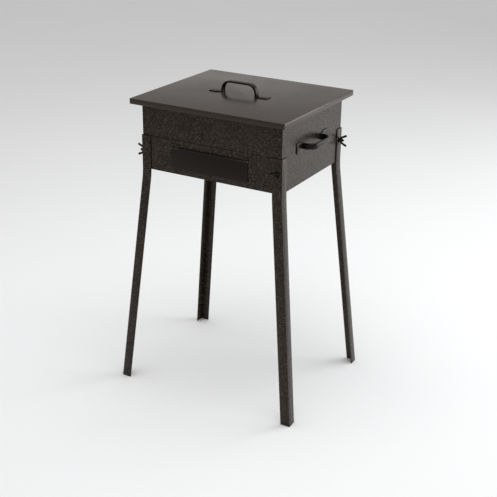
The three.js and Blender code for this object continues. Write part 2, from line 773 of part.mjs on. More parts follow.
// A fluted knob about Z, with a blind hole for its spindle.
function knobGeometry() {
  const profile = [
    [0, KNOB.low],
    [KNOB.base, KNOB.low],
    [KNOB.radius, KNOB.low + KNOB.skirt],
    [KNOB.radius, KNOB.high - KNOB.lip],
    [KNOB.crown, KNOB.high],
    [0, KNOB.high],
  ];
  const flutes = [];
  for (let i = 0; i < KNOB.flutes; i += 1) {
    const flute = bar('z', KNOB.flute, 2 * KNOB.high, [KNOB.radius + 1, 0, KNOB.high]);
    flutes.push(flute.rotateZ((i / KNOB.flutes) * 2 * Math.PI));
  }
  const socket = bar('z', SPINDLE.radius + GAP, 2 * (SPINDLE.outside + GAP), [0, 0, 0]);
  return cut(turned(profile, 24), ...flutes, socket);
}

// ---------------------------------------------------------------- assembly

buildShell();
buildLining();
buildLegs();
buildHandles();
buildLid();
buildMouthDoor();
buildBurner();

export default forge;
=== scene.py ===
"""Looks of a small gas forge: a lidded firebox on splayed angle-iron legs, built round its fixed frame."""

from contextlib import contextmanager
from dataclasses import dataclass, field
from enum import Enum
from typing import Any, Callable, Iterator, Sequence
import logging
import math

import bmesh
import bpy
from mathutils import Matrix, Quaternion, Vector

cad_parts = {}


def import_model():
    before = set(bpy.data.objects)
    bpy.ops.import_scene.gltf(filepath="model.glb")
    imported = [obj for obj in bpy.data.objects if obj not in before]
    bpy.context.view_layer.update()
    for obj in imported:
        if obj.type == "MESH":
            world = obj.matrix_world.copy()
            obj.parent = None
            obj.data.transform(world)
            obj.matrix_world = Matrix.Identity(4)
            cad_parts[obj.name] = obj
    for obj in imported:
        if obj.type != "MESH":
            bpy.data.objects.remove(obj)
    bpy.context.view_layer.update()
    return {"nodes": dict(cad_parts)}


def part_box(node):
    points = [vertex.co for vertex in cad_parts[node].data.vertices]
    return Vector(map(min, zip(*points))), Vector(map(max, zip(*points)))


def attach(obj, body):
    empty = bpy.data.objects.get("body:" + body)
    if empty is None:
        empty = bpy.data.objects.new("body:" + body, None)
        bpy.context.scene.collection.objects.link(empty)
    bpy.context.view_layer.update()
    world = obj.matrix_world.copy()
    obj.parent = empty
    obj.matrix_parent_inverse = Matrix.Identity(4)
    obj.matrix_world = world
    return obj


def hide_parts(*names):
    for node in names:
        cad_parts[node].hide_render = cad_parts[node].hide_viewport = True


logging.basicConfig(level=logging.INFO, format="%(levelname)s %(name)s: %(message)s")
LOG = logging.getLogger("gas_forge")

MM = 0.001
GAP = 0.3 * MM  # clear space between neighbouring pieces
NEAR = 0.1 * MM  # how near a corner, edge or face lies when it is picked
TILE_EDGE = 1.5 * MM  # rounding of the edges of the lining
FORGE = "forge"
Point = tuple[float, float, float]


class Axis(Enum):
    """Directions that a piece may be built along."""

    RIGHT = (1.0, 0.0, 0.0)
    LEFT = (-1.0, 0.0, 0.0)
    FRONT = (0.0, -1.0, 0.0)
    REAR = (0.0, 1.0, 0.0)
    UP = (0.0, 0.0, 1.0)

    @property
    def vector(self) -> Vector:
        """The direction as a vector."""
        return Vector(self.value)


class Slot(Enum):
    """Finishes, by the names of their slots."""

    HAMMERED = "hammered_enamel"
    LID = "lid_enamel"
    SMOOTH = "smooth_enamel"
    BLACK = "black_steel"
    STEEL = "bare_steel"
    REFRACTORY = "refractory"
    BRASS = "brass"
    PLASTIC = "red_plastic"


# ------------------------------------------------------------------------------------------ shader trees


class Wire:
    """A shader socket that takes part in Python arithmetic."""

    def __init__(self, tree: "ShaderTree", socket: bpy.types.NodeSocket) -> None:
        """Wraps a socket of a tree.

        Args:
            tree: The tree that holds the socket.
            socket: The output socket to wrap.
        """
        self.tree = tree
        self.socket = socket

    def _math(self, operation: str, first: Any, second: Any) -> "Wire":
        """Adds a Math node for one operation on two values."""
        return self.tree.node("ShaderNodeMath", {"operation": operation}, {0: first, 1: second})

    def __add__(self, other: Any) -> "Wire":
        """This value plus another."""
        return self._math("ADD", self, other)

    def __radd__(self, other: Any) -> "Wire":
        """Another value plus this one."""
        return self._math("ADD", other, self)

    def __sub__(self, other: Any) -> "Wire":
        """This value minus another."""
        return self._math("SUBTRACT", self, other)

    def __rsub__(self, other: Any) -> "Wire":
        """Another value minus this one."""
        return self._math("SUBTRACT", other, self)

    def __mul__(self, other: Any) -> "Wire":
        """This value times another."""
        return self._math("MULTIPLY", self, other)

    def __rmul__(self, other: Any) -> "Wire":
        """Another value times this one."""
        return self._math("MULTIPLY", other, self)


class ShaderTree:
    """One material's node tree, built by calls instead of by hand."""

    def __init__(self, name: str) -> None:
        """Makes a material with only its output node.

        Args:
            name: The material's name.
        """
        self.material = bpy.data.materials.new(name)
        self.material.use_nodes = True
        self.nodes = self.material.node_tree.nodes
        self.links = self.material.node_tree.links
        self.nodes.clear()
        self.output = self.nodes.new("ShaderNodeOutputMaterial")

    def node(
        self,
        kind: str,
        settings: dict[str, Any] | None = None,
        inputs: dict[Any, Any] | None = None,
        out: Any = 0,
    ) -> Wire:
        """Adds a node.

        Args:
            kind: The node's type.
            settings: Its properties, and "stops" for a colour ramp, set before its inputs.
            inputs: Values or wires for its input sockets, by name or number.
            out: The output socket to return.

        Returns:
            The wrapped output socket.
        """
        made = self.nodes.new(kind)
        for key, value in (settings or {}).items():
            if key == "stops":
                self._set_stops(made.color_ramp, value)
            else:
                setattr(made, key, value)
        for key, value in (inputs or {}).items():
            if isinstance(value, Wire):
                self.links.new(value.socket, made.inputs[key])
            else:
                made.inputs[key].default_value = value
        return Wire(self, made.outputs[out])

    @staticmethod
    def _set_stops(ramp: bpy.types.ColorRamp, stops: Sequence[tuple[float, Sequence[float]]]) -> None:
        """Gives a colour ramp its stops."""
        while len(ramp.elements) < len(stops):
            ramp.elements.new(0.5)
        for element, (position, colour) in zip(ramp.elements, stops):
            element.position = position
            element.color = (*colour[:3], 1.0)

    def place(self) -> Wire:
        """The object's own coordinates, in metres."""
        return self.node("ShaderNodeTexCoord", out="Object")

    def noise(
        self, scale: float, detail: float = 2.0, roughness: float = 0.5, at: Wire | None = None
    ) -> Wire:
        """A noise value from 0 to 1.

        Args:
            scale: Waves per metre.
            detail: Octaves.
            roughness: How strong the finer octaves are.
            at: Where to read it; the object's coordinates by default.

        Returns:
            The noise.
        """
        values = {"Vector": at or self.place(), "Scale": scale, "Detail": detail, "Roughness": roughness}
        return self.node("ShaderNodeTexNoise", {}, values, "Fac")

    def cells(self, scale: float, feature: str = "F1") -> Wire:
        """Distance to the nearest of scattered points, for cells and pits."""
        values = {"Vector": self.place(), "Scale": scale}
        return self.node("ShaderNodeTexVoronoi", {"feature": feature}, values, "Distance")

    def stretched(self, scale: Point) -> Wire:
        """The object's coordinates stretched along its axes."""
        return self.node("ShaderNodeMapping", {}, {"Vector": self.place(), "Scale": scale})

    def ramp(self, value: Wire, low: float, high: float) -> Wire:
        """A value spread so that low becomes 0 and high becomes 1, clamped."""
        values = {0: value, 1: low, 2: high, 3: 0.0, 4: 1.0}
        return self.node("ShaderNodeMapRange", {"clamp": True}, values)

    def mix(self, factor: Any, first: Any, second: Any) -> Wire:
        """A colour between two colours."""
        settings = {"data_type": "RGBA"}
        return self.node("ShaderNodeMix", settings, {0: factor, 6: first, 7: second}, 2)

    def bump(self, height: Wire, depth: float, strength: float = 1.0, under: Wire | None = None) -> Wire:
        """A normal from a height.

        Args:
            height: The height, from 0 to 1.
            depth: What 1 stands for, in metres.
            strength: How much of it shows.
            under: A normal that it is laid over.

        Returns:
            The normal.
        """
        values: dict[str, Any] = {"Height": height, "Distance": depth, "Strength": strength}
        if under is not None:
            values["Normal"] = under
        return self.node("ShaderNodeBump", {}, values)

    def surface(self, **inputs: Any) -> bpy.types.Material:
        """Ends the tree in a Principled shader.

        Args:
            **inputs: Its sockets, with _ for each space.

        Returns:
            The finished material.
        """
        values = {key.replace("_", " "): value for key, value in inputs.items()}
        shader = self.node("ShaderNodeBsdfPrincipled", {}, values)
        self.links.new(shader.socket, self.output.inputs["Surface"])
        return self.material


def rgb(red: int, green: int, blue: int) -> tuple[float, float, float, float]:
    """A display colour, 0 to 255, as a linear one."""
    levels = [channel / 255 for channel in (red, green, blue)]
    linear = [v / 12.92 if v <= 0.04045 else ((v + 0.055) / 1.055) ** 2.4 for v in levels]
    return (*linear, 1.0)


@dataclass(frozen=True)
class Enamel:
    """Stoved enamel over sheet steel, with a hammered grain whose dimples hold painted shade."""

    name: str
    dark: tuple[int, int, int]
    light: tuple[int, int, int]
    roughness: float
    grain: float = 185.0
    depth: float = 0.0002
    specular: float = 0.5
    flecks: float = 0.7
    tint: tuple[float, float, float, float] = (1.0, 0.85, 0.76, 1.0)

    def build(self) -> bpy.types.Material:
        """Makes the material."""
        tree = ShaderTree(self.name)
        cell = tree.cells(self.grain, feature="SMOOTH_F1")
        drift = tree.noise(self.grain * 0.6, 2.0)
        fleck = tree.ramp(tree.noise(self.grain * 1.3, 3.0, 0.65), 0.5, 0.66)
        cloud = tree.ramp(tree.noise(9.0, 3.0, 0.55), 0.35, 0.7)
        # Random flecks and clouds, plus painted shade: the cells that dent the ripple bump also darken the
        # colour in the dimples and lighten it on the ridges.
        tone_and_dimple_shade = fleck * self.flecks + tree.ramp(cell, 0.25, 0.6) * 0.18 + cloud * 0.08
        colour = tree.mix(tone_and_dimple_shade, rgb(*self.dark), rgb(*self.light))
        ripple = tree.bump(cell * 0.7 + drift * 0.3, self.depth, 0.9)
        dust = tree.bump(tree.noise(self.grain * 9, 2.0), 0.00002, 0.5, ripple)
        rough = self.roughness + (cloud - 0.5) * 0.08 + (fleck - 0.5) * 0.06
        return tree.surface(
            Base_Color=colour,
            Roughness=rough,
            Metallic=0.0,
            Specular_IOR_Level=self.specular,
            Specular_Tint=self.tint,
            Normal=dust,
        )


@dataclass(frozen=True)
class Lacquer:
    """Thin black lacquer over mill steel, rubbed a little and with a fine orange peel."""

    name: str
    dark: tuple[int, int, int]
    light: tuple[int, int, int]
    roughness: float
    specular: float = 0.5

    def build(self) -> bpy.types.Material:
        """Makes the material."""
        tree = ShaderTree(self.name)
        cloud = tree.ramp(tree.noise(26.0, 4.0, 0.6), 0.3, 0.75)
        fleck = tree.ramp(tree.noise(420.0, 2.0), 0.56, 0.72)
        rubbed = tree.ramp(tree.noise(75.0, 5.0, 0.7), 0.6, 0.72)
        colour = tree.mix(cloud * 0.5 + fleck * 0.3 + rubbed * 0.2, rgb(*self.dark), rgb(*self.light))
        peel = tree.bump(tree.noise(520.0, 2.0), 0.00012, 0.6)
        scale = tree.bump(tree.noise(60.0, 5.0, 0.65), 0.0003, 0.35, peel)
        rough = self.roughness + (cloud - 0.5) * 0.14 - rubbed * 0.08
        return tree.surface(
            Base_Color=colour,
            Roughness=rough,
            Metallic=0.0,
            Specular_IOR_Level=self.specular,
            Specular_Tint=(1.0, 0.88, 0.8, 1.0),
            Normal=scale,
        )


@dataclass(frozen=True)
class PlatedSteel:
    """Zinc-plated steel with faint turning marks and dull patches."""

    name: str
    dark: tuple[int, int, int]
    light: tuple[int, int, int]
    roughness: float
    metallic: float = 0.95
    lines: float = 1500.0

    def build(self) -> bpy.types.Material:
        """Makes the material."""
        tree = ShaderTree(self.name)
        cloud = tree.ramp(tree.noise(60.0, 4.0, 0.6), 0.3, 0.7)
        marks = tree.noise(1.0, 2.0, 0.5, tree.stretched((self.lines * 0.1, self.lines * 0.1, self.lines)))
        colour = tree.mix(cloud * 0.7 + marks * 0.3, rgb(*self.dark), rgb(*self.light))
        rough = self.roughness + (cloud - 0.5) * 0.2 + (marks - 0.5) * 0.12
        return tree.surface(
            Base_Color=colour,
            Roughness=rough,
            Metallic=self.metallic,
            Normal=tree.bump(marks, 0.00004, 0.7),
        )


@dataclass(frozen=True)
class FiredClay:
    """Pale refractory board: grog specks, soot, and pores darkened with painted shade."""

    name: str
    pale: tuple[int, int, int]
    speck: tuple[int, int, int]
    soot_and_pore_shade: tuple[int, int, int]

    def build(self) -> bpy.types.Material:
        """Makes the material."""
        tree = ShaderTree(self.name)
        grog = tree.ramp(tree.cells(150.0), 0.1, 0.45)
        pores = tree.ramp(tree.noise(330.0, 4.0, 0.7), 0.6, 0.75)
        smoke = tree.ramp(tree.noise(11.0, 4.0, 0.6), 0.45, 0.8)
        clay = tree.mix(grog, rgb(*self.speck), rgb(*self.pale))
        # Painted shade: the pores are darkened toward the soot colour exactly where the bump sinks them into
        # pits; the smoke clouds below are real soot.
        clay_with_pore_shade = tree.mix(pores * 0.6, clay, rgb(*self.soot_and_pore_shade))
        colour = tree.mix(smoke * 0.55, clay_with_pore_shade, rgb(*self.soot_and_pore_shade))
        rough = 0.88 + (grog - 0.5) * 0.1
        pits = tree.bump(1 - pores, 0.0008, 0.9)
        body = tree.bump(tree.noise(45.0, 5.0, 0.6), 0.0012, 0.5, pits)
        return tree.surface(Base_Color=colour, Roughness=rough, Metallic=0.0, Normal=body)


@dataclass(frozen=True)
class MouldedPlastic:
    """Moulded plastic with a fine spark-eroded texture."""

    name: str
    dark: tuple[int, int, int]
    light: tuple[int, int, int]

    def build(self) -> bpy.types.Material:
        """Makes the material."""
        tree = ShaderTree(self.name)
        cloud = tree.noise(40.0, 3.0, 0.6)
        spark = tree.noise(1800.0, 2.0)
        colour = tree.mix(cloud * 0.7 + spark * 0.3, rgb(*self.dark), rgb(*self.light))
        rough = 0.42 + (spark - 0.5) * 0.2
        return tree.surface(
            Base_Color=colour, Roughness=rough, Metallic=0.0, Normal=tree.bump(spark, 0.00005, 0.6)
        )


@dataclass(frozen=True)
class PaleFloor:
    """The studio floor: plain, pale and nearly even."""

    name: str
    pale: tuple[int, int, int]
    light: tuple[int, int, int]

    def build(self) -> bpy.types.Material:
        """Makes the material."""
        tree = ShaderTree(self.name)
        colour = tree.mix(tree.noise(1.2, 2.0), rgb(*self.pale), rgb(*self.light))
        return tree.surface(Base_Color=colour, Roughness=0.9, Metallic=0.0, Specular_IOR_Level=0.2)


@dataclass(frozen=True)
class Finishes:
    """Every finish on the forge, by the slot that it fills."""

    hammered: Enamel = Enamel("hammered_brown_enamel", (8, 7, 6), (76, 67, 59), 0.3, specular=0.22)
    lid: Enamel = Enamel(
        "lid_brown_enamel", (28, 22, 18), (54, 44, 37), 0.3,
        grain=320.0, depth=0.00005, specular=0.42, flecks=0.35,
    )
    smooth: Enamel = Enamel(
        "smooth_dark_enamel", (12, 10, 9), (24, 20, 17), 0.4, grain=500.0, depth=0.00003, specular=0.22
    )
    black: Lacquer = Lacquer("black_lacquered_steel", (5, 4, 4), (22, 18, 16), 0.3, specular=0.2)
    steel: PlatedSteel = PlatedSteel("zinc_plated_steel", (120, 119, 116), (190, 188, 184), 0.34)
    clay: FiredClay = FiredClay("fired_clay_board", (214, 204, 184), (176, 160, 132), (58, 50, 44))
    brass: PlatedSteel = PlatedSteel("turned_brass", (128, 98, 44), (200, 166, 92), 0.3)
    plastic: MouldedPlastic = MouldedPlastic("red_moulded_plastic", (118, 20, 16), (160, 34, 28))

    def materials(self) -> dict[Slot, bpy.types.Material]:
        """Builds every finish once.

        Returns:
            The materials by slot.
        """
        return {
            Slot.HAMMERED: self.hammered.build(),
            Slot.LID: self.lid.build(),
            Slot.SMOOTH: self.smooth.build(),
            Slot.BLACK: self.black.build(),
            Slot.STEEL: self.steel.build(),
            Slot.REFRACTORY: self.clay.build(),
            Slot.BRASS: self.brass.build(),
            Slot.PLASTIC: self.plastic.build(),
        }


# ------------------------------------------------------------------------------------------ bench work


def clear_selection() -> None:
    """Deselects every object, whatever was selected before."""
    if bpy.context.mode != "OBJECT":
        bpy.ops.object.mode_set(mode="OBJECT")
    bpy.ops.object.select_all(action="DESELECT")


def only(piece: bpy.types.Object) -> None:
    """Selects one object alone and makes it active."""
    clear_selection()
    piece.select_set(True)
    bpy.context.view_layer.objects.active = piece


@contextmanager
def editing(piece: bpy.types.Object) -> Iterator[None]:
    """Opens a piece in edit mode for a stretch of work."""
    only(piece)
    bpy.ops.object.mode_set(mode="EDIT")
    yield
    bpy.ops.object.mode_set(mode="OBJECT")


def pick(kind: str, test: Callable[[Vector], bool]) -> None:
    """Selects the parts of the open mesh whose middle passes a test.

    Args:
        kind: VERT, EDGE or FACE.
        test: Takes a middle point and says whether it is wanted.
    """
    bpy.ops.mesh.select_mode(type=kind)
    bpy.ops.mesh.select_all(action="DESELECT")
    mesh = bpy.context.edit_object.data
    opened = bmesh.from_edit_mesh(mesh)
    if kind == "FACE":
        members = [(face, face.calc_center_median()) for face in opened.faces]
    elif kind == "EDGE":
        members = [(edge, (edge.verts[0].co + edge.verts[1].co) / 2) for edge in opened.edges]
    else:
        members = [(vert, vert.co.copy()) for vert in opened.verts]
    for member, middle in members:
        if test(middle):
            member.select_set(True)
    if kind == "VERT":
        opened.select_flush(True)
    else:
        opened.select_flush_mode()
    bmesh.update_edit_mesh(mesh)


def pull(offset: Sequence[float]) -> None:
    """Extrudes the selection by an offset."""
    bpy.ops.mesh.extrude_region_move(TRANSFORM_OT_translate={"value": tuple(offset)})


def settle(piece: bpy.types.Object, name: str) -> bpy.types.Object:
    """Names a new piece and puts its place into its mesh."""
    only(piece)
    bpy.ops.object.transform_apply(location=True, rotation=True, scale=True)
    piece.name = name
    piece.data.name = name
    return piece


def apply_modifier(piece: bpy.types.Object, kind: str, **settings: Any) -> None:
    """Adds a modifier with its settings and applies it."""
    only(piece)
    modifier = piece.modifiers.new(kind.lower(), kind)
    for key, value in settings.items():
        setattr(modifier, key, value)
    bpy.ops.object.modifier_apply(modifier=modifier.name)


def outward(piece: bpy.types.Object) -> None:
    """Merges doubles and turns every face outward."""
    with editing(piece):
        bpy.ops.mesh.select_all(action="SELECT")
        bpy.ops.mesh.remove_doubles(threshold=0.000005)
        bpy.ops.mesh.normals_make_consistent(inside=False)


def smooth(piece: bpy.types.Object, angle: float = 32.0) -> None:
    """Shades a piece smooth where its faces meet at less than an angle in degrees."""
    only(piece)
    bpy.ops.object.shade_smooth_by_angle(angle=math.radians(angle))


def soften(piece: bpy.types.Object, width: float, angle: float = 35.0) -> None:
    """Rounds a piece's sharp edges, then shades it smooth.

    Args:
        piece: The piece.
        width: The width of the rounding, in metres.
        angle: Edges sharper than this are rounded, in degrees.
    """
    limit = math.radians(angle)
    apply_modifier(piece, "BEVEL", width=width, segments=2, limit_method="ANGLE", angle_limit=limit)
    smooth(piece)


def stand(piece: bpy.types.Object, at: Vector, direction: Vector, spin: float = 0.0) -> None:
    """Moves a piece built up +Z to a seat, and turns it to look along a direction."""
    turn = Vector((0, 0, 1)).rotation_difference(direction)
    twist = Quaternion((0, 0, 1), spin)
    piece.matrix_world = Matrix.Translation(at) @ (turn @ twist).to_matrix().to_4x4()
    settle(piece, piece.name)


def turned(
    name: str, profile: Sequence[tuple[float, float]], sides: int, tube: bool = False
) -> bpy.types.Object:
    """Turns a piece up +Z, one step at a time.

    Args:
        name: The piece's name.
        profile: (radius, height) steps, in millimetres, from the bottom of the outside upward.
        sides: Sides of the round.
        tube: Whether the profile closes on itself round a bore.

    Returns:
        The turned piece, at the origin.
    """
    clear_selection()
    fill = "NOTHING" if tube else "NGON"
    steps = [(wide * MM, tall * MM) for wide, tall in profile]
    radius, height = steps[0]
    bpy.ops.mesh.primitive_circle_add(vertices=sides, radius=radius, fill_type=fill, location=(0, 0, height))
    piece = settle(bpy.context.object, name)
    with editing(piece):
        bpy.ops.mesh.select_all(action="SELECT")
        for next_radius, next_height in steps[1:]:
            pull((0, 0, next_height - height))
            ratio = next_radius / radius
            centre = (0, 0, next_height)
            bpy.ops.transform.resize(value=(ratio, ratio, 1), center_override=centre)
            radius, height = next_radius, next_height
        if tube:
            bpy.ops.mesh.select_all(action="DESELECT")
            bpy.ops.mesh.select_mode(type="EDGE")
            bpy.ops.mesh.select_non_manifold()
            bpy.ops.mesh.bridge_edge_loops()
    outward(piece)
    return piece


def arc(middle: Vector, radius: float, first: float, last: float, steps: int = 20) -> list[Vector]:
    """Points round an arc in the XZ plane, from one angle in degrees to another."""
    angles = (math.radians(first + (last - first) * i / steps) for i in range(steps + 1))
    return [middle + Vector((radius * math.cos(a), 0, radius * math.sin(a))) for a in angles]


def block(name: str, middle: Sequence[float], size: Sequence[float]) -> bpy.types.Object:
    """A plain block to be worked on, or to cut with."""
    clear_selection()
    bpy.ops.mesh.primitive_cube_add(size=1, location=tuple(middle), scale=tuple(size))
    return settle(bpy.context.object, name)


def carve(piece: bpy.types.Object, tool: bpy.types.Object) -> None:
    """Cuts a tool's shape out of a piece, then throws the tool away."""
    apply_modifier(piece, "BOOLEAN", operation="DIFFERENCE", solver="EXACT", object=tool)
    bpy.data.objects.remove(tool)


def fuse(piece: bpy.types.Object, *others: bpy.types.Object) -> bpy.types.Object:
    """Joins other objects to a piece."""
    only(piece)
    for other in others:
        other.select_set(True)
    bpy.ops.object.join()
    return piece


def ribbon(name: str, width: float, line: Sequence[Vector], thickness: float) -> bpy.types.Object:
    """A strip of sheet laid along a line in the XZ plane, as wide as given along Y.

    Args:
        name: The piece's name.
        width: Its width, in metres.
        line: The points of its outer face.
        thickness: Its thickness, on the side below the line.

    Returns:
        The strip, at the origin.
    """
    clear_selection()
    bpy.ops.mesh.primitive_plane_add(size=1, location=(0, 0, 0))
    piece = settle(bpy.context.object, name)
    with editing(piece):
        bpy.ops.mesh.select_all(action="SELECT")
        bpy.ops.transform.resize(value=(1, width, 1), center_override=(0, 0, 0))
        for start, point in ((-0.5, line[0]), (0.5, line[1])):
            pick("VERT", lambda co, start=start: abs(co.x - start) < 0.1)
            bpy.ops.transform.translate(value=tuple(point - Vector((start, 0, 0))))
        end = line[1]
        for point in line[2:]:
            pick("VERT", lambda co, end=end: (Vector((co.x, 0, co.z)) - end).length < 1e-6)
            pull(point - end)
            end = point
    apply_modifier(piece, "SOLIDIFY", thickness=thickness, offset=-1.0, use_even_offset=True)
    outward(piece)
    return piece


def rounded(corners: Sequence[Vector], radii: Sequence[float], steps: int = 8) -> list[Vector]:
    """Points along a line whose corners are rounded.

    Args:
        corners: The line's corners, ends included.
        radii: How far the rounding reaches from each inner corner.
        steps: Steps in each rounding.

    Returns:
        The points.
    """
    points = [corners[0]]
    for before, corner, after, reach in zip(corners, corners[1:], corners[2:], radii):
        start = corner + (before - corner).normalized() * reach
        end = corner + (after - corner).normalized() * reach
        for i in range(steps + 1):
            t = i / steps
            points.append(start * (1 - t) ** 2 + corner * 2 * t * (1 - t) + end * t * t)
    points.append(corners[-1])
    return points


@dataclass
class Bench:
    """Where finished pieces are dressed, mounted and reported."""

    nodes: dict[str, bpy.types.Object]
    materials: dict[Slot, bpy.types.Material]
    made: list[str] = field(default_factory=list)

    def mount(self, piece: bpy.types.Object, body: str, slot: Slot, *replaced: str) -> None:
        """Dresses a new piece and hangs it on its body.

        Args:
            piece: The finished piece.
            body: The body that it moves with.
            slot: The finish that it takes.
            *replaced: The frame nodes that it stands for.
        """
        piece.data.materials.clear()
        piece.data.materials.append(self.materials[slot])
        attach(piece, body)
        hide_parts(*replaced)
        self.made.append(piece.name)
        LOG.info("%s rides on %s, %d faces", piece.name, body, len(piece.data.polygons))

    def keep(self, name: str, slot: Slot, edge: float = 0.0004) -> None:
        """Keeps a frame node, with a finish and slightly broken edges.

        Args:
            name: The node.
            slot: Its finish.
            edge: The width of its broken edges, in metres.
        """
        node = self.nodes[name]
        node.data.materials.clear()
        node.data.materials.append(self.materials[slot])
        weld = node.modifiers.new("weld", "WELD")
        weld.merge_threshold = 0.00001
        bevel = node.modifiers.new("broken_edges", "BEVEL")
        bevel.width = edge
        bevel.segments = 2
        bevel.limit_method = "ANGLE"
        bevel.angle_limit = math.radians(40)
        LOG.info("%s kept", name)


# ------------------------------------------------------------------------------------------ sub-assemblies


@dataclass
class Firebox:
    """The sheet-steel shell, its lining, and its rivets with sizes in millimetres."""

    bench: Bench
    panels: tuple[str, ...] = (
        "floor_pan", "left_panel", "right_panel", "rear_panel", "front_upper_panel", "front_lower_panel",
    )
    tiles: tuple[str, ...] = ("floor_tile", "left_lining", "right_lining", "front_lining", "rear_lining")
    head: float = 4.2
    crown: float = 2.0
    shank: float = 2.2
    tail: float = 3.4
    tail_height: float = 1.2

    def build(self) -> None:
        """Dresses the shell and makes its rivets."""
        for panel in self.panels:
            self.bench.keep(panel, Slot.HAMMERED)
        # The seam strip takes the black finish as a painted shadow line where the upper front sheet laps the
        # lower one.
        self.bench.keep("front_seam_strip", Slot.BLACK)
        for tile in self.tiles:
            self.bench.keep(tile, Slot.REFRACTORY, TILE_EDGE)
        rivets = {
            "front_left_rivet": Axis.FRONT,
            "front_right_rivet": Axis.FRONT,
            "left_rim_rivet": Axis.LEFT,
            "right_rim_rivet": Axis.RIGHT,
        }
        for name, axis in rivets.items():
            self.build_rivet(name, axis)

    def build_rivet(self, name: str, axis: Axis) -> None:
        """Turns one domed rivet through its panel.

        Args:
            name: The node that it stands for.
            axis: The way its dome faces.
        """
        low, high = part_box(name)
        along = axis.vector
        reach = (high - low).dot(Vector(map(abs, along)))
        back = -reach / MM
        angles = (math.radians(10 * i) for i in range(9))
        profile = [
            (self.tail, back),
            (self.tail, back + self.tail_height),
            (self.shank, back + self.tail_height),
            (self.shank, -self.crown),
            *((self.head * math.cos(a), self.crown * math.sin(a) - self.crown) for a in angles),
        ]
        piece = turned(f"{name}_finished", profile, 24)
        soften(piece, 0.15 * MM, 50)
        stand(piece, (low + high) / 2 + along * (reach / 2), along)
        self.bench.mount(piece, FORGE, Slot.HAMMERED, name)



@dataclass
class PressedHandle:
    """One pressed handle: a crowned bow with turned-in edges between two flat tabs."""

    bench: Bench
    node: str
    body: str
    seat: Vector
    axis: Axis
    spin: float
    width: float = 16 * MM
    depth: float = 5 * MM
    sheet: float = 2 * MM
    rise: float = 33 * MM
    foot: float = 54.5 * MM
    shoulder: float = 50 * MM
    reach: float = 25 * MM
    tab_end: float = 88 * MM
    tab_width: float = 28 * MM

    def build(self) -> None:
        """Draws the bow, adds its tabs and stands the handle on its seat."""
        buried = GAP + self.sheet / 2
        half = [(self.foot, buried), (self.shoulder, self.rise)]
        corners = [Vector((-u, 0, w)) for u, w in half] + [Vector((u, 0, w)) for u, w in reversed(half)]
        line = rounded(corners, [self.reach, self.reach], 12)
        bow = ribbon(f"{self.node}_pressing", self.width, line, self.depth)
        self.press(bow, line)
        fuse(bow, self.build_tab(-1), self.build_tab(1))
        stand(bow, self.seat, self.axis.vector, self.spin)
        self.bench.mount(bow, self.body, Slot.BLACK, self.node)

    def press(self, bow: bpy.types.Object, line: Sequence[Vector]) -> None:
        """Crowns the bow's outside and hollows its inside.

        Args:
            bow: The solid bow.
            line: The points of its outer face.
        """
        middles = [(a + b) / 2 for a, b in zip(line, line[1:])]

        def below(co: Vector) -> float:
            """How far a point lies from the outer face."""
            return min((Vector((co.x, 0, co.z)) - middle).length for middle in middles)

        edge = self.width / 2 - NEAR
        tab_top = GAP + self.sheet
        with editing(bow):
            pick("EDGE", lambda co: abs(co.y) > edge and below(co) < 0.2 * MM)
            bpy.ops.mesh.bevel(offset=3.6 * MM, segments=5, affect="EDGES")
            pick("FACE", lambda co: abs(co.y) < NEAR and below(co) > 0.8 * self.depth and co.z > tab_top)
            bpy.ops.mesh.inset(thickness=self.sheet, depth=self.sheet - self.depth)
        soften(bow, 0.3 * MM, 50)

    def build_tab(self, side: int) -> bpy.types.Object:
        """Draws one tab out from under the bow, flared and round at its end.

        Args:
            side: The end of the handle that it is on.

        Returns:
            The tab.
        """
        neck, flare, narrow = 7 * MM, 8 * MM, self.width + 2 * MM
        start = self.foot - self.depth - 1 * MM
        middle = Vector((side * (start + neck / 2), 0, GAP + self.sheet / 2))
        tab = block("tab", middle, (neck, narrow, self.sheet))
        with editing(tab):
            pick("FACE", lambda co: side * co.x > start + neck - NEAR)
            pull((side * flare, 0, 0))
            bpy.ops.transform.resize(value=(1, self.tab_width / narrow, 1), center_override=tuple(middle))
            pull((side * (self.tab_end - start - neck - flare), 0, 0))
            corner = self.tab_width / 2 - NEAR
            pick("EDGE", lambda co: side * co.x > self.tab_end - NEAR and abs(co.y) > corner)
            bpy.ops.mesh.bevel(offset=5 * MM, segments=6, affect="EDGES")
        soften(tab, 0.5 * MM, 50)
        return tab


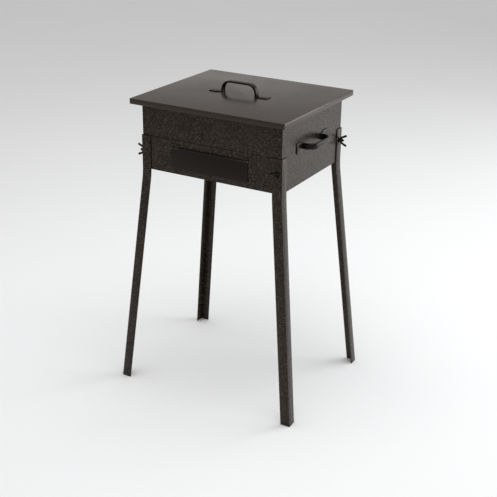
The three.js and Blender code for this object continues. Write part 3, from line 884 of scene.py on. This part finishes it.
@dataclass
class Lid:
    """The pressed lid, its board and anchors."""

    bench: Bench
    sheet: float = 2 * MM
    corner: float = 3.0 * MM
    rim: float = 1.6 * MM

    def build(self) -> None:
        """Presses the lid and dresses what hangs under it."""
        low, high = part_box("lid")
        clear_selection()
        middle = (low + high) / 2
        bpy.ops.mesh.primitive_plane_add(size=1, location=(middle.x, middle.y, high.z))
        lid = settle(bpy.context.object, "lid_pressing")
        with editing(lid):
            bpy.ops.mesh.select_all(action="SELECT")
            size = high - low
            bpy.ops.transform.resize(value=(size.x, size.y, 1), center_override=(middle.x, middle.y, high.z))
            bpy.ops.mesh.select_mode(type="EDGE")
            bpy.ops.mesh.extrude_edges_move(TRANSFORM_OT_translate={"value": (0, 0, -size.z)})
            edge_z = (low.z + high.z) / 2
            pick("EDGE", lambda co: abs(co.z - edge_z) < 0.001)
            bpy.ops.mesh.bevel(offset=self.corner, segments=4, affect="EDGES")
            pick("EDGE", lambda co: abs(co.z - high.z) < 0.0001)
            bpy.ops.mesh.bevel(offset=self.rim, segments=3, affect="EDGES")
        outward(lid)
        apply_modifier(lid, "SOLIDIFY", thickness=self.sheet, offset=-1.0, use_even_offset=True)
        soften(lid, 0.35 * MM, 60)
        self.bench.mount(lid, "lid", Slot.LID, "lid")
        self.bench.keep("lid_board", Slot.REFRACTORY, TILE_EDGE)
        self.build_anchors()

    def build_anchors(self) -> None:
        """Turns the four washered studs that hold the board."""
        washer = [(11, 0), (14, 0.6), (14, 1.2), (5, 1.5)]
        for i in range(1, 5):
            node = f"lid_board_anchor_{i}"
            low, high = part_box(node)
            middle = (low + high) / 2
            stud = [(2.5, 2.2), (2.5, (high.z - low.z) / MM)]
            piece = turned(f"{node}_finished", washer + stud, 32)
            soften(piece, 0.2 * MM, 50)
            stand(piece, Vector((middle.x, middle.y, low.z)), Axis.UP.vector)
            self.bench.mount(piece, "lid", Slot.STEEL, node)



@dataclass
class Leg:
    """One angle-iron leg, bent under the box and splayed to the floor."""

    bench: Bench
    place: str
    side: int
    end: int
    flange: float = 27 * MM
    wall: float = 2.5 * MM
    bend_height: float = 614 * MM
    bend_radius: float = 16 * MM
    fold_radius: float = 1.6 * MM

    def build(self) -> None:
        """Folds a flat strip into angle iron, bends it and cuts its ends square."""
        node = f"leg_{self.place}"
        low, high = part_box(node)
        foot = Vector((high.x if self.side > 0 else low.x, high.y if self.end > 0 else low.y, 0))
        box_low, box_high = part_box("left_panel")[0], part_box("right_panel")[1]
        reach = self.wall + GAP
        corner_x = (box_high.x + reach) if self.side > 0 else (box_low.x - reach)
        corner_y = (box_high.y + reach) if self.end > 0 else (box_low.y - reach)
        top = Vector((corner_x, corner_y, high.z))
        bend = Vector((corner_x, corner_y, self.bend_height))
        clear_selection()
        bpy.ops.mesh.primitive_plane_add(size=1, location=(0, 0, 0))
        leg = settle(bpy.context.object, f"{node}_iron")
        with editing(leg):
            self.fold_section(top)
            for near, far in ((top, bend), (bend, foot)):
                pick("VERT", lambda co, z=near.z: abs(co.z - z) < 1e-5)
                pull(far - near)
            self.round_folds(top, bend)
        outward(leg)
        self.face_out(leg)
        apply_modifier(leg, "SOLIDIFY", thickness=self.wall, offset=-1.0, use_even_offset=True)
        soften(leg, 0.45 * MM, 50)
        self.bench.mount(leg, FORGE, Slot.HAMMERED, node)

    def fold_section(self, top: Vector) -> None:
        """Turns the starting plane into an L of edges round a corner.

        Args:
            top: The outer corner at the top of the leg.
        """
        bpy.ops.mesh.select_all(action="SELECT")
        bpy.ops.mesh.select_mode(type="VERT")
        bpy.ops.mesh.delete(type="ONLY_FACE")
        mesh = bpy.context.edit_object.data
        opened = bmesh.from_edit_mesh(mesh)
        opened.verts.ensure_lookup_table()
        spots = [
            top + Vector((-self.side * self.flange, 0, 0)),
            top,
            top + Vector((0, -self.end * self.flange, 0)),
        ]
        ring = self.walk(opened)
        for vert, spot in zip(ring, spots):
            vert.co = spot
        opened.verts.remove(ring[3])
        bmesh.update_edit_mesh(mesh)

    @staticmethod
    def walk(opened: bmesh.types.BMesh) -> list[bmesh.types.BMVert]:
        """The four corners of the plane, in order round it."""
        ring = [opened.verts[0]]
        while len(ring) < 4:
            around = [edge.other_vert(ring[-1]) for edge in ring[-1].link_edges]
            ring.append(next(vert for vert in around if vert not in ring))
        return ring

    def round_folds(self, top: Vector, bend: Vector) -> None:
        """Rounds the bend below the box, then the fold of the angle.

        Args:
            top: The outer corner at the top.
            bend: The outer corner at the bend.
        """
        pick("EDGE", lambda co: abs(co.z - bend.z) < 1e-4)
        bpy.ops.mesh.bevel(offset=self.bend_radius, segments=4, affect="EDGES")
        mesh = bpy.context.edit_object.data
        bpy.ops.mesh.select_mode(type="EDGE")
        bpy.ops.mesh.select_all(action="DESELECT")
        opened = bmesh.from_edit_mesh(mesh)
        for edge in opened.edges:
            along = (edge.verts[0].co - edge.verts[1].co).normalized()
            if abs(along.z) > 0.9 and len(edge.link_faces) == 2:
                edge.select_set(True)
        bmesh.update_edit_mesh(mesh)
        bpy.ops.mesh.bevel(offset=self.fold_radius, segments=3, affect="EDGES")

    def face_out(self, leg: bpy.types.Object) -> None:
        """Makes the open sheet face away from the middle of the box."""
        total = sum((face.normal * face.area for face in leg.data.polygons), Vector())
        if total.dot(Vector((self.side, self.end, 0))) < 0:
            with editing(leg):
                bpy.ops.mesh.select_all(action="SELECT")
                bpy.ops.mesh.flip_normals()


@dataclass
class LegFixing:
    """A coach bolt through leg and wall, with its wing nut. Its sizes are in millimetres."""

    bench: Bench
    place: str
    axis: Axis
    turn: float
    bolt: float = 3.0
    pitch: float = 1.25
    turns: int = 10
    grip: float = 4.8

    def build(self) -> None:
        """Makes the bolt and its nut on one seat."""
        low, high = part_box(f"wing_nut_{self.place}")
        middle = (low + high) / 2
        along = self.axis.vector
        depth = (high - low).dot(Vector(map(abs, along)))
        seat = middle - along * (depth / 2 + GAP)
        self.build_bolt(seat, along)
        self.build_nut(seat, along)

    def build_bolt(self, seat: Vector, along: Vector) -> None:
        """Turns the bolt with a domed head inside and a rolled thread outside."""
        back = -self.grip - GAP / MM
        root = self.bolt - 0.45
        head = [(3.2, back - 3.0), (5.4, back - 2.5), (6.8, back - 1.2), (7.0, back - 0.5), (7.0, back)]
        profile = [*head, (self.bolt, back), (self.bolt, 0.0)]
        for i in range(self.turns):
            start = i * self.pitch
            profile += [(root, start + 0.35 * self.pitch), (root, start + 0.5 * self.pitch)]
            profile += [(self.bolt, start + 0.85 * self.pitch), (self.bolt, start + self.pitch)]
        end = self.turns * self.pitch
        profile += [(root, end + 0.4), (root - 0.5, end + 1.0)]
        bolt = turned(f"leg_bolt_{self.place}_finished", profile, 24)
        smooth(bolt)
        stand(bolt, seat, along)
        self.bench.mount(bolt, FORGE, Slot.BLACK, f"leg_bolt_{self.place}")

    def build_nut(self, seat: Vector, along: Vector) -> None:
        """Shapes the nut's hub, draws its two wings from it and smooths the whole."""
        name = f"wing_nut_{self.place}"
        bore = self.bolt + 0.35
        profile = [
            (bore, 0.3), (6.0, 0.3), (6.4, 0.8), (6.3, 3.0), (5.6, 6.0), (5.0, 8.5), (4.4, 9.0), (bore, 9.0),
        ]
        hub = turned(f"{name}_finished", profile, 32, tube=True)
        soften(hub, 0.2 * MM, 40)
        fuse(hub, *(self.build_wing(turn) for turn in (0.0, math.pi)))
        stand(hub, seat, along, math.radians(self.turn))
        self.bench.mount(hub, name, Slot.BLACK, name)

    def build_wing(self, turn: float) -> bpy.types.Object:
        """Draws one wing out of the hub's side in steps, then smooths it.

        Args:
            turn: The way it points, in radians about the hub.

        Returns:
            The wing.
        """
        wing = block("wing", (5.0 * MM, 0, 5.4 * MM), (2.0 * MM, 4.6 * MM, 7.4 * MM))
        steps = [
            ((1.2, 0, 1.0), 0.95, 28),
            ((1.5, 0, 2.6), 0.92, 30),
            ((2.3, 0, 4.6), 0.98, 4),
            ((2.0, 0, 4.2), 1.1, 0),
            ((1.0, 0, 2.2), 1.0, -4),
            ((0.5, 0, 1.6), 0.72, 0),
        ]
        tip = Vector((6.0, 0, 5.4)) * MM
        with editing(wing):
            pick("FACE", lambda co: co.x > tip.x - NEAR)
            for step, ratio, degrees in steps:
                offset = Vector(step) * MM
                pull(offset)
                tip += offset
                centre = tuple(tip)
                bpy.ops.transform.resize(value=(ratio, 0.98, ratio), center_override=centre)
                bpy.ops.transform.rotate(value=math.radians(degrees), orient_axis="Y", center_override=centre)
        outward(wing)
        apply_modifier(wing, "SUBSURF", levels=2, render_levels=2)
        smooth(wing, 60.0)
        stand(wing, Vector((0, 0, 0)), Axis.UP.vector, turn)
        return wing


@dataclass
class MouthDoor:
    """The flap over the mouth, with its rolled knuckle, brackets and pin."""

    bench: Bench
    leaf: float = 1.5 * MM
    curl: float = 1.1 * MM
    bore: float = 1.5 * MM

    def build(self) -> None:
        """Cuts the flap and rolls it and its brackets round the pin."""
        pin = sum(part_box("door_pin"), Vector()) / 2
        low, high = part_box("mouth_door")
        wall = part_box("front_lower_panel")[0].y
        self.build_flap(pin, low, high, wall)
        for side in ("left", "right"):
            self.build_bracket(f"door_bracket_{side}", pin, wall)
        self.build_pin()

    def build_flap(self, pin: Vector, low: Vector, high: Vector, wall: float) -> None:
        """Makes the flap: a flat leaf, and a narrower neck that is rolled forward round the pin.

        Args:
            pin: The middle of the hinge pin.
            low: The flap's lower corner.
            high: The flap's upper corner.
            wall: Where the outer face of the wall is.
        """
        outer = self.bore + self.curl
        face = wall - 2 * GAP - self.leaf
        top = pin.z - outer - GAP
        middle = (low.x + high.x) / 2
        leaf = ribbon("leaf", high.x - low.x, [Vector((face, 0, low.z)), Vector((face, 0, top))], self.leaf)
        with editing(leaf):
            edge = (high.x - low.x) / 2 - NEAR
            pick("EDGE", lambda co: abs(co.y) > edge and co.z < low.z + NEAR)
            bpy.ops.mesh.bevel(offset=2 * MM, segments=4, affect="EDGES")
        soften(leaf, 0.35 * MM, 50)
        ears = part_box("door_bracket_right")[0].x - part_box("door_bracket_left")[1].x
        hub = Vector((pin.y, 0, pin.z))
        line = [
            Vector((face + 0.1 * MM, 0, top - 6 * MM)),
            Vector((face + 0.1 * MM, 0, top - 0.4 * MM)),
            *arc(hub, self.bore, 0, 300),
        ]
        neck = ribbon("neck", ears - 2 * GAP, line, self.curl)
        soften(neck, 0.15 * MM, 60)
        flap = fuse(leaf, neck)
        flap.name = "mouth_flap"
        stand(flap, Vector((middle, 0, 0)), Axis.UP.vector, math.pi / 2)
        self.bench.mount(flap, "mouth_door", Slot.SMOOTH, "mouth_door")

    def build_bracket(self, node: str, pin: Vector, wall: float) -> None:
        """Rolls one bracket's foot round the pin.

        Args:
            node: The bracket that it stands for.
            pin: The middle of the hinge pin.
            wall: Where the outer face of the wall is.
        """
        low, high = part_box(node)
        hub = Vector((pin.y, 0, pin.z))
        back = wall - GAP
        line = [
            Vector((back, 0, high.z)),
            Vector((back, 0, pin.z + 3 * MM)),
            *arc(hub, self.bore + self.curl, 0, -300),
        ]
        width = high.x - low.x
        bracket = ribbon(f"{node}_rolled", width, line, self.curl)
        with editing(bracket):
            pick("EDGE", lambda co: abs(co.y) > width / 2 - NEAR and co.z > high.z - NEAR)
            bpy.ops.mesh.bevel(offset=3 * MM, segments=4, affect="EDGES")
        soften(bracket, 0.15 * MM, 60)
        stand(bracket, Vector(((low.x + high.x) / 2, 0, 0)), Axis.UP.vector, math.pi / 2)
        self.bench.mount(bracket, FORGE, Slot.HAMMERED, node)

    def build_pin(self) -> None:
        """Turns the pin, with its ends broken."""
        low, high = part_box("door_pin")
        middle = (low + high) / 2
        radius, length = (high.z - low.z) / 2 / MM, (high.x - low.x) / MM
        profile = [(0.6 * radius, 0), (radius, 0.4), (radius, length - 0.4), (0.6 * radius, length)]
        pin = turned("door_pin_finished", profile, 20)
        soften(pin, 0.1 * MM, 40)
        stand(pin, Vector((low.x, middle.y, middle.z)), Axis.RIGHT.vector)
        self.bench.mount(pin, FORGE, Slot.STEEL, "door_pin")



@dataclass
class Burner:
    """The burner behind the rear wall, from its nozzle to the hose tail."""

    bench: Bench
    pipe: float = 14 * MM
    pipe_wall: float = 3 * MM
    bend: float = 18 * MM
    axis: Vector = field(default_factory=Vector)

    def build(self) -> None:
        """Makes the burner's pieces from the wall outward and down."""
        low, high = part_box("mixing_tube")
        self.axis = Vector(((low.x + high.x) / 2, (low.y + high.y) / 2, 0))
        self.build_elbow()
        self.build_flange()
        self.build_mixer(low.z)
        self.build_shutter()
        self.build_jet()
        self.build_valve()
        self.build_control()
        self.build_tail()

    def finish(
        self, piece: bpy.types.Object, body: str, slot: Slot, node: str, edge: float = 0.25 * MM
    ) -> None:
        """Rounds a piece's edges and mounts it for its node."""
        soften(piece, edge, 40)
        self.bench.mount(piece, body, slot, node)

    def turn_on_axis(
        self, node: str, profile: Sequence[tuple[float, float]], sides: int, tube: bool = False
    ) -> bpy.types.Object:
        """Turns a piece and stands it on the burner's axis, where its node starts.

        Args:
            node: The node that it stands for.
            profile: (radius, height) steps, in millimetres.
            sides: Sides of the round.
            tube: Whether the profile closes on itself round a bore.

        Returns:
            The piece in its place.
        """
        piece = turned(f"{node}_finished", profile, sides, tube)
        stand(piece, self.axis + Vector((0, 0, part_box(node)[0].z)), Axis.UP.vector)
        return piece

    @staticmethod
    def height_of(node: str) -> float:
        """A node's height, in millimetres."""
        low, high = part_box(node)
        return (high.z - low.z) / MM

    def build_elbow(self) -> None:
        """Draws the pipe in through the wall, round its bend and down."""
        low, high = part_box("burner_elbow")
        level = high.z - self.pipe
        turn_y = self.axis.y - self.bend
        clear_selection()
        bpy.ops.mesh.primitive_circle_add(
            vertices=48, radius=self.pipe, location=(self.axis.x, low.y, level), rotation=(math.pi / 2, 0, 0)
        )
        elbow = settle(bpy.context.object, "burner_elbow_finished")
        hub = (self.axis.x, turn_y, level - self.bend)
        steps = 14
        with editing(elbow):
            bpy.ops.mesh.select_all(action="SELECT")
            pull((0, turn_y - low.y, 0))
            for _ in range(steps):
                pull((0, 0, 0))
                bpy.ops.transform.rotate(value=math.pi / 2 / steps, orient_axis="X", center_override=hub)
            pull((0, 0, low.z - level + self.bend))
        outward(elbow)
        apply_modifier(elbow, "SOLIDIFY", thickness=self.pipe_wall, offset=-1.0)
        self.finish(elbow, FORGE, Slot.BLACK, "burner_elbow", 0.4 * MM)

    def build_flange(self) -> None:
        """Cuts the flange with round corners, and its two slotted screws."""
        low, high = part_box("burner_flange")
        middle, size = (low + high) / 2, high - low
        flange = block("burner_flange_finished", middle, size)
        with editing(flange):
            reach = size.x / 2 - NEAR
            pick("EDGE", lambda co: abs(co.x - middle.x) > reach and abs(co.z - middle.z) > reach)
            bpy.ops.mesh.bevel(offset=8 * MM, segments=6, affect="EDGES")
        hole_radius = (self.pipe + GAP) / MM
        hole = turned("hole", [(hole_radius, -6), (hole_radius, 6)], 48)
        stand(hole, middle, Axis.REAR.vector)
        carve(flange, hole)
        self.finish(flange, FORGE, Slot.BLACK, "burner_flange", 0.4 * MM)
        for side in ("left", "right"):
            node = f"flange_screw_{side}"
            low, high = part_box(node)
            middle = (low + high) / 2
            length = (high.y - low.y) / MM
            profile = [
                (1.4, 0), (2, 0.8), (2, length - 2.6), (4.4, length - 2.6), (4.5, length - 1.6),
                (3.9, length - 0.7), (2.4, length - 0.15), (0.8, length),
            ]
            screw = turned(f"{node}_finished", profile, 32)
            carve(screw, block("slot", (0, 0, length * MM), (12 * MM, 1.2 * MM, 2.4 * MM)))
            stand(screw, Vector((middle.x, low.y, middle.z)), Axis.REAR.vector, 0.5)
            self.finish(screw, FORGE, Slot.STEEL, node, 0.1 * MM)

    def cut_ports(self, piece: bpy.types.Object, level: float) -> None:
        """Cuts four round-cornered air ports through a tube's wall.

        Args:
            piece: The tube.
            level: The height of the ports' middle.
        """
        for length, breadth in ((50 * MM, 8 * MM), (8 * MM, 50 * MM)):
            middle = self.axis + Vector((0, 0, level))
            tool = block("port", middle, (length, breadth, 18 * MM))
            with editing(tool):
                along = 0 if length > breadth else 1
                pick("EDGE", lambda co: abs(co[along] - middle[along]) < NEAR)
                bpy.ops.mesh.bevel(offset=2.5 * MM, segments=5, affect="EDGES")
            carve(piece, tool)

    def build_mixer(self, bottom: float) -> None:
        """Turns the mixing tube with its waist and cuts its air ports.

        Args:
            bottom: The height of its lower end, in metres.
        """
        pipe, bore = self.pipe / MM, (self.pipe - self.pipe_wall) / MM
        length = self.height_of("mixing_tube")
        outside = [
            (pipe, 0), (pipe, 40), (13.1, 44), (11.4, 49), (10.6, 55), (10.5, 76), (10.8, 84), (12.2, 100),
            (13.6, 113), (pipe, 117.5), (pipe, length),
        ]
        inside = [(bore, length), (bore, 117.5), (7.5, 80), (7.5, 54), (bore, 40), (bore, 0)]
        tube = self.turn_on_axis("mixing_tube", outside + inside, 48, tube=True)
        self.cut_ports(tube, bottom + 20 * MM)
        self.finish(tube, FORGE, Slot.BLACK, "mixing_tube", 0.3 * MM)

    def build_shutter(self) -> None:
        """Turns the air shutter with a bead at each end and cuts its ports."""
        low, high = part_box("air_shutter")
        height = self.height_of("air_shutter")
        inner, bead = self.pipe / MM + 0.4, self.pipe / MM + 3.0
        band = bead - 0.6
        profile = [
            (inner, 0), (bead, 0), (bead, 2.4), (band, 3), (band, height - 3), (bead, height - 2.4),
            (bead, height), (inner, height),
        ]
        shutter = self.turn_on_axis("air_shutter", profile, 56, tube=True)
        self.cut_ports(shutter, (low.z + high.z) / 2)
        self.finish(shutter, "air_shutter", Slot.BRASS, "air_shutter", 0.2 * MM)

    def build_jet(self) -> None:
        """Turns the plug in the foot of the mixing tube, and the jet in it."""
        pipe, plug = self.pipe / MM, 11.7
        height = self.height_of("jet_holder")
        profile = [
            (3, 0), (13, 0), (pipe, 1), (pipe, 3), (13.4, 3.6), (13.4, 8.4), (pipe, 9), (pipe, plug),
            (10.7, plug), (10.7, height), (3, height),
        ]
        holder = self.turn_on_axis("jet_holder", profile, 48, tube=True)
        self.finish(holder, FORGE, Slot.BRASS, "jet_holder")
        height = self.height_of("gas_jet")
        profile = [
            (2.7, 0), (2.7, height - 14), (5, height - 14), (5, height - 9), (4, height - 7.6),
            (2, height - 0.6), (1.2, height),
        ]
        jet = self.turn_on_axis("gas_jet", profile, 24)
        self.finish(jet, FORGE, Slot.BRASS, "gas_jet", 0.15 * MM)

    def build_valve(self) -> None:
        """Turns the valve's barrel, with a hexagon at each end and a boss for the spindle."""
        low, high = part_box("valve_body")
        height = self.height_of("valve_body")
        profile = [
            (8, 0), (8, 3), (9.6, 6), (11, 10), (11, height - 10), (9.6, height - 6),
            (8, height - 3), (8, height),
        ]
        barrel = turned("valve_body_finished", profile, 48)
        soften(barrel, 0.3 * MM, 30)
        for start in (0.2, height - 5.2):
            flats = [(10, start), (10.8, start + 0.6), (10.8, start + 4.4), (10, start + 5)]
            hexagon = turned("hexagon", flats, 6)
            soften(hexagon, 0.2 * MM, 20)
            fuse(barrel, hexagon)
        stand(barrel, self.axis + Vector((0, 0, low.z)), Axis.UP.vector)
        inset = 8 * MM
        reach = (self.axis.x - inset - low.x) / MM
        profile = [
            (3.3, 0), (6.4, 0), (6.4, reach - 5), (7, reach - 4.4), (7, reach - 0.6),
            (6.4, reach), (3.3, reach),
        ]
        boss = turned("boss", profile, 40, tube=True)
        soften(boss, 0.2 * MM, 30)
        stand(boss, self.axis + Vector((-inset, 0, (low.z + high.z) / 2)), Axis.LEFT.vector)
        fuse(barrel, boss)
        self.bench.mount(barrel, FORGE, Slot.BRASS, "valve_body")

    def build_control(self) -> None:
        """Turns the spindle and the fluted knob on it."""
        low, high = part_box("valve_spindle")
        middle = (low + high) / 2
        rod, end, length = 3.0, 2.4, (high.x - low.x) / MM
        profile = [(end, 0), (rod, 0.6), (rod, length - 0.6), (end, length)]
        spindle = turned("valve_spindle_finished", profile, 32)
        stand(spindle, Vector((high.x, middle.y, middle.z)), Axis.LEFT.vector)
        self.finish(spindle, "valve_control", Slot.STEEL, "valve_spindle", 0.15 * MM)
        low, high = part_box("valve_knob")
        middle = (low + high) / 2
        width = (high.x - low.x) / MM
        profile = [
            (8.6, 0), (9.4, 0.6), (11.4, 2.6), (12, 4), (12, width - 3), (11.3, width - 1.2),
            (9.8, width - 0.3), (6.5, width), (5.6, width - 0.7),
        ]
        knob = turned("valve_knob_finished", profile, 64)
        with editing(knob):
            pick("VERT", lambda co: abs(math.degrees(math.atan2(co.y, co.x)) % 45 - 22.5) < 9)
            bpy.ops.transform.resize(value=(0.9, 0.9, 1), center_override=(0, 0, 0))
        stand(knob, Vector((high.x, middle.y, middle.z)), Axis.LEFT.vector)
        self.finish(knob, "valve_control", Slot.PLASTIC, "valve_knob", 0.3 * MM)

    def build_tail(self) -> None:
        """Turns the barbed tail that a hose is pushed onto."""
        height = self.height_of("hose_tail")
        bore, root, collar = 1.8, 3.2, 7.5
        profile = [(bore, 0), (root, 0)]
        for start in (0, 5, 10):
            profile += [(root, start + 0.3), (4.4, start + 4.2), (4.3, start + 4.7), (root, start + 4.9)]
        profile += [
            (root, height - 5), (collar - 0.4, height - 5), (collar, height - 4.5), (collar, height - 0.5),
            (collar - 0.4, height), (bore, height),
        ]
        tail = self.turn_on_axis("hose_tail", profile, 40, tube=True)
        self.finish(tail, FORGE, Slot.BRASS, "hose_tail", 0.1 * MM)



# ------------------------------------------------------------------------------------------ studio


@dataclass(frozen=True)
class SoftLight:
    """One large soft lamp."""

    name: str
    place: Point
    aim: Point
    size: float
    power: float

    def build(self) -> None:
        """Hangs the lamp and points it."""
        lamp = bpy.data.lights.new(self.name, "AREA")
        lamp.shape = "SQUARE"
        lamp.size = self.size
        lamp.energy = self.power
        holder = bpy.data.objects.new(self.name, lamp)
        bpy.context.scene.collection.objects.link(holder)
        holder.location = self.place
        holder.rotation_mode = "QUATERNION"
        holder.rotation_quaternion = (Vector(self.aim) - Vector(self.place)).to_track_quat("-Z", "Y")


@dataclass
class Studio:
    """Camera, floor and soft light."""

    azimuth: float = 28.76
    elevation: float = 23.14
    roll: float = 1.05
    lens: float = 72.54
    shift: tuple[float, float] = (-0.0235, 0.0095)
    stand_at: Point = (1.2837, -2.2347, 1.4657)

    def build(self) -> None:
        """Sets up everything round the forge."""
        bpy.context.scene.view_settings.view_transform = "Standard"
        self.build_camera()
        self.build_floor()
        for light in (
            SoftLight("overhead_softbox", (0.2, -0.2, 3.0), (0, 0, 0.4), 2.6, 44),
            SoftLight("right_softbox", (2.6, 2.4, 1.3), (0, 0, 0.6), 2.4, 66),
        ):
            light.build()
        self.build_sky()

    def build_camera(self) -> None:
        """Stands the camera at its angle."""
        turn, tilt, lean = (math.radians(v) for v in (self.azimuth, self.elevation, self.roll))
        back = Vector(
            (math.sin(turn) * math.cos(tilt), -math.cos(turn) * math.cos(tilt), math.sin(tilt))
        )
        right = (-back).cross(Vector((0, 0, 1))).normalized()
        up = right.cross(-back)
        across = right * math.cos(lean) + up * math.sin(lean)
        upward = up * math.cos(lean) - right * math.sin(lean)
        data = bpy.data.cameras.new("studio_camera")
        data.lens = self.lens
        data.sensor_width = 36
        data.shift_x, data.shift_y = self.shift
        camera = bpy.data.objects.new("studio_camera", data)
        bpy.context.scene.collection.objects.link(camera)
        facing = Matrix((across, upward, back)).transposed().to_4x4()
        camera.matrix_world = Matrix.Translation(self.stand_at) @ facing
        bpy.context.scene.camera = camera

    @staticmethod
    def build_floor() -> None:
        """Lays a wide pale floor."""
        clear_selection()
        bpy.ops.mesh.primitive_plane_add(size=1, location=(0, 0, 0))
        floor = bpy.context.object
        with editing(floor):
            bpy.ops.mesh.select_all(action="SELECT")
            bpy.ops.transform.resize(value=(60, 60, 1))
            bpy.ops.mesh.subdivide(number_cuts=4)
        settle(floor, "studio_floor")
        floor.data.materials.append(PaleFloor("pale_floor", (236, 238, 240), (242, 243, 244)).build())

    @staticmethod
    def build_sky() -> None:
        """Fills the room with even pale light."""
        world = bpy.data.worlds.new("studio_room")
        world.use_nodes = True
        backdrop = world.node_tree.nodes["Background"]
        backdrop.inputs["Color"].default_value = (1.0, 0.985, 0.97, 1.0)
        backdrop.inputs["Strength"].default_value = 0.6
        bpy.context.scene.world = world


def main() -> None:
    """Builds the forge's looks round its frame, piece by piece."""
    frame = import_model()
    clear_selection()
    Studio().build()
    bench = Bench(frame["nodes"], Finishes().materials())
    Firebox(bench).build()
    Lid(bench).build()
    lid_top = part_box("lid")[1].z
    right_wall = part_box("right_panel")[1].x
    lid_handle = sum(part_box("lid_handle"), Vector()) / 2
    side_handle = sum(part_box("right_handle"), Vector()) / 2
    PressedHandle(
        bench, "lid_handle", "lid", Vector((lid_handle.x, lid_handle.y, lid_top)), Axis.UP, 0.0
    ).build()
    for node, side, axis in (("right_handle", 1, Axis.RIGHT), ("left_handle", -1, Axis.LEFT)):
        seat = Vector((side * right_wall, side_handle.y, side_handle.z))
        PressedHandle(bench, node, FORGE, seat, axis, math.pi / 2).build()
    corners = (
        ("front_left", -1, -1, Axis.LEFT, 0),
        ("front_right", 1, -1, Axis.FRONT, -20),
        ("rear_right", 1, 1, Axis.RIGHT, 0),
        ("rear_left", -1, 1, Axis.REAR, 60),
    )
    for place, side, end, axis, turn in corners:
        Leg(bench, place, side, end).build()
        LegFixing(bench, place, axis, turn).build()
    MouthDoor(bench).build()
    Burner(bench).build()
    LOG.info("%d new pieces", len(bench.made))
    clear_selection()


if __name__ == "__main__":
    main()
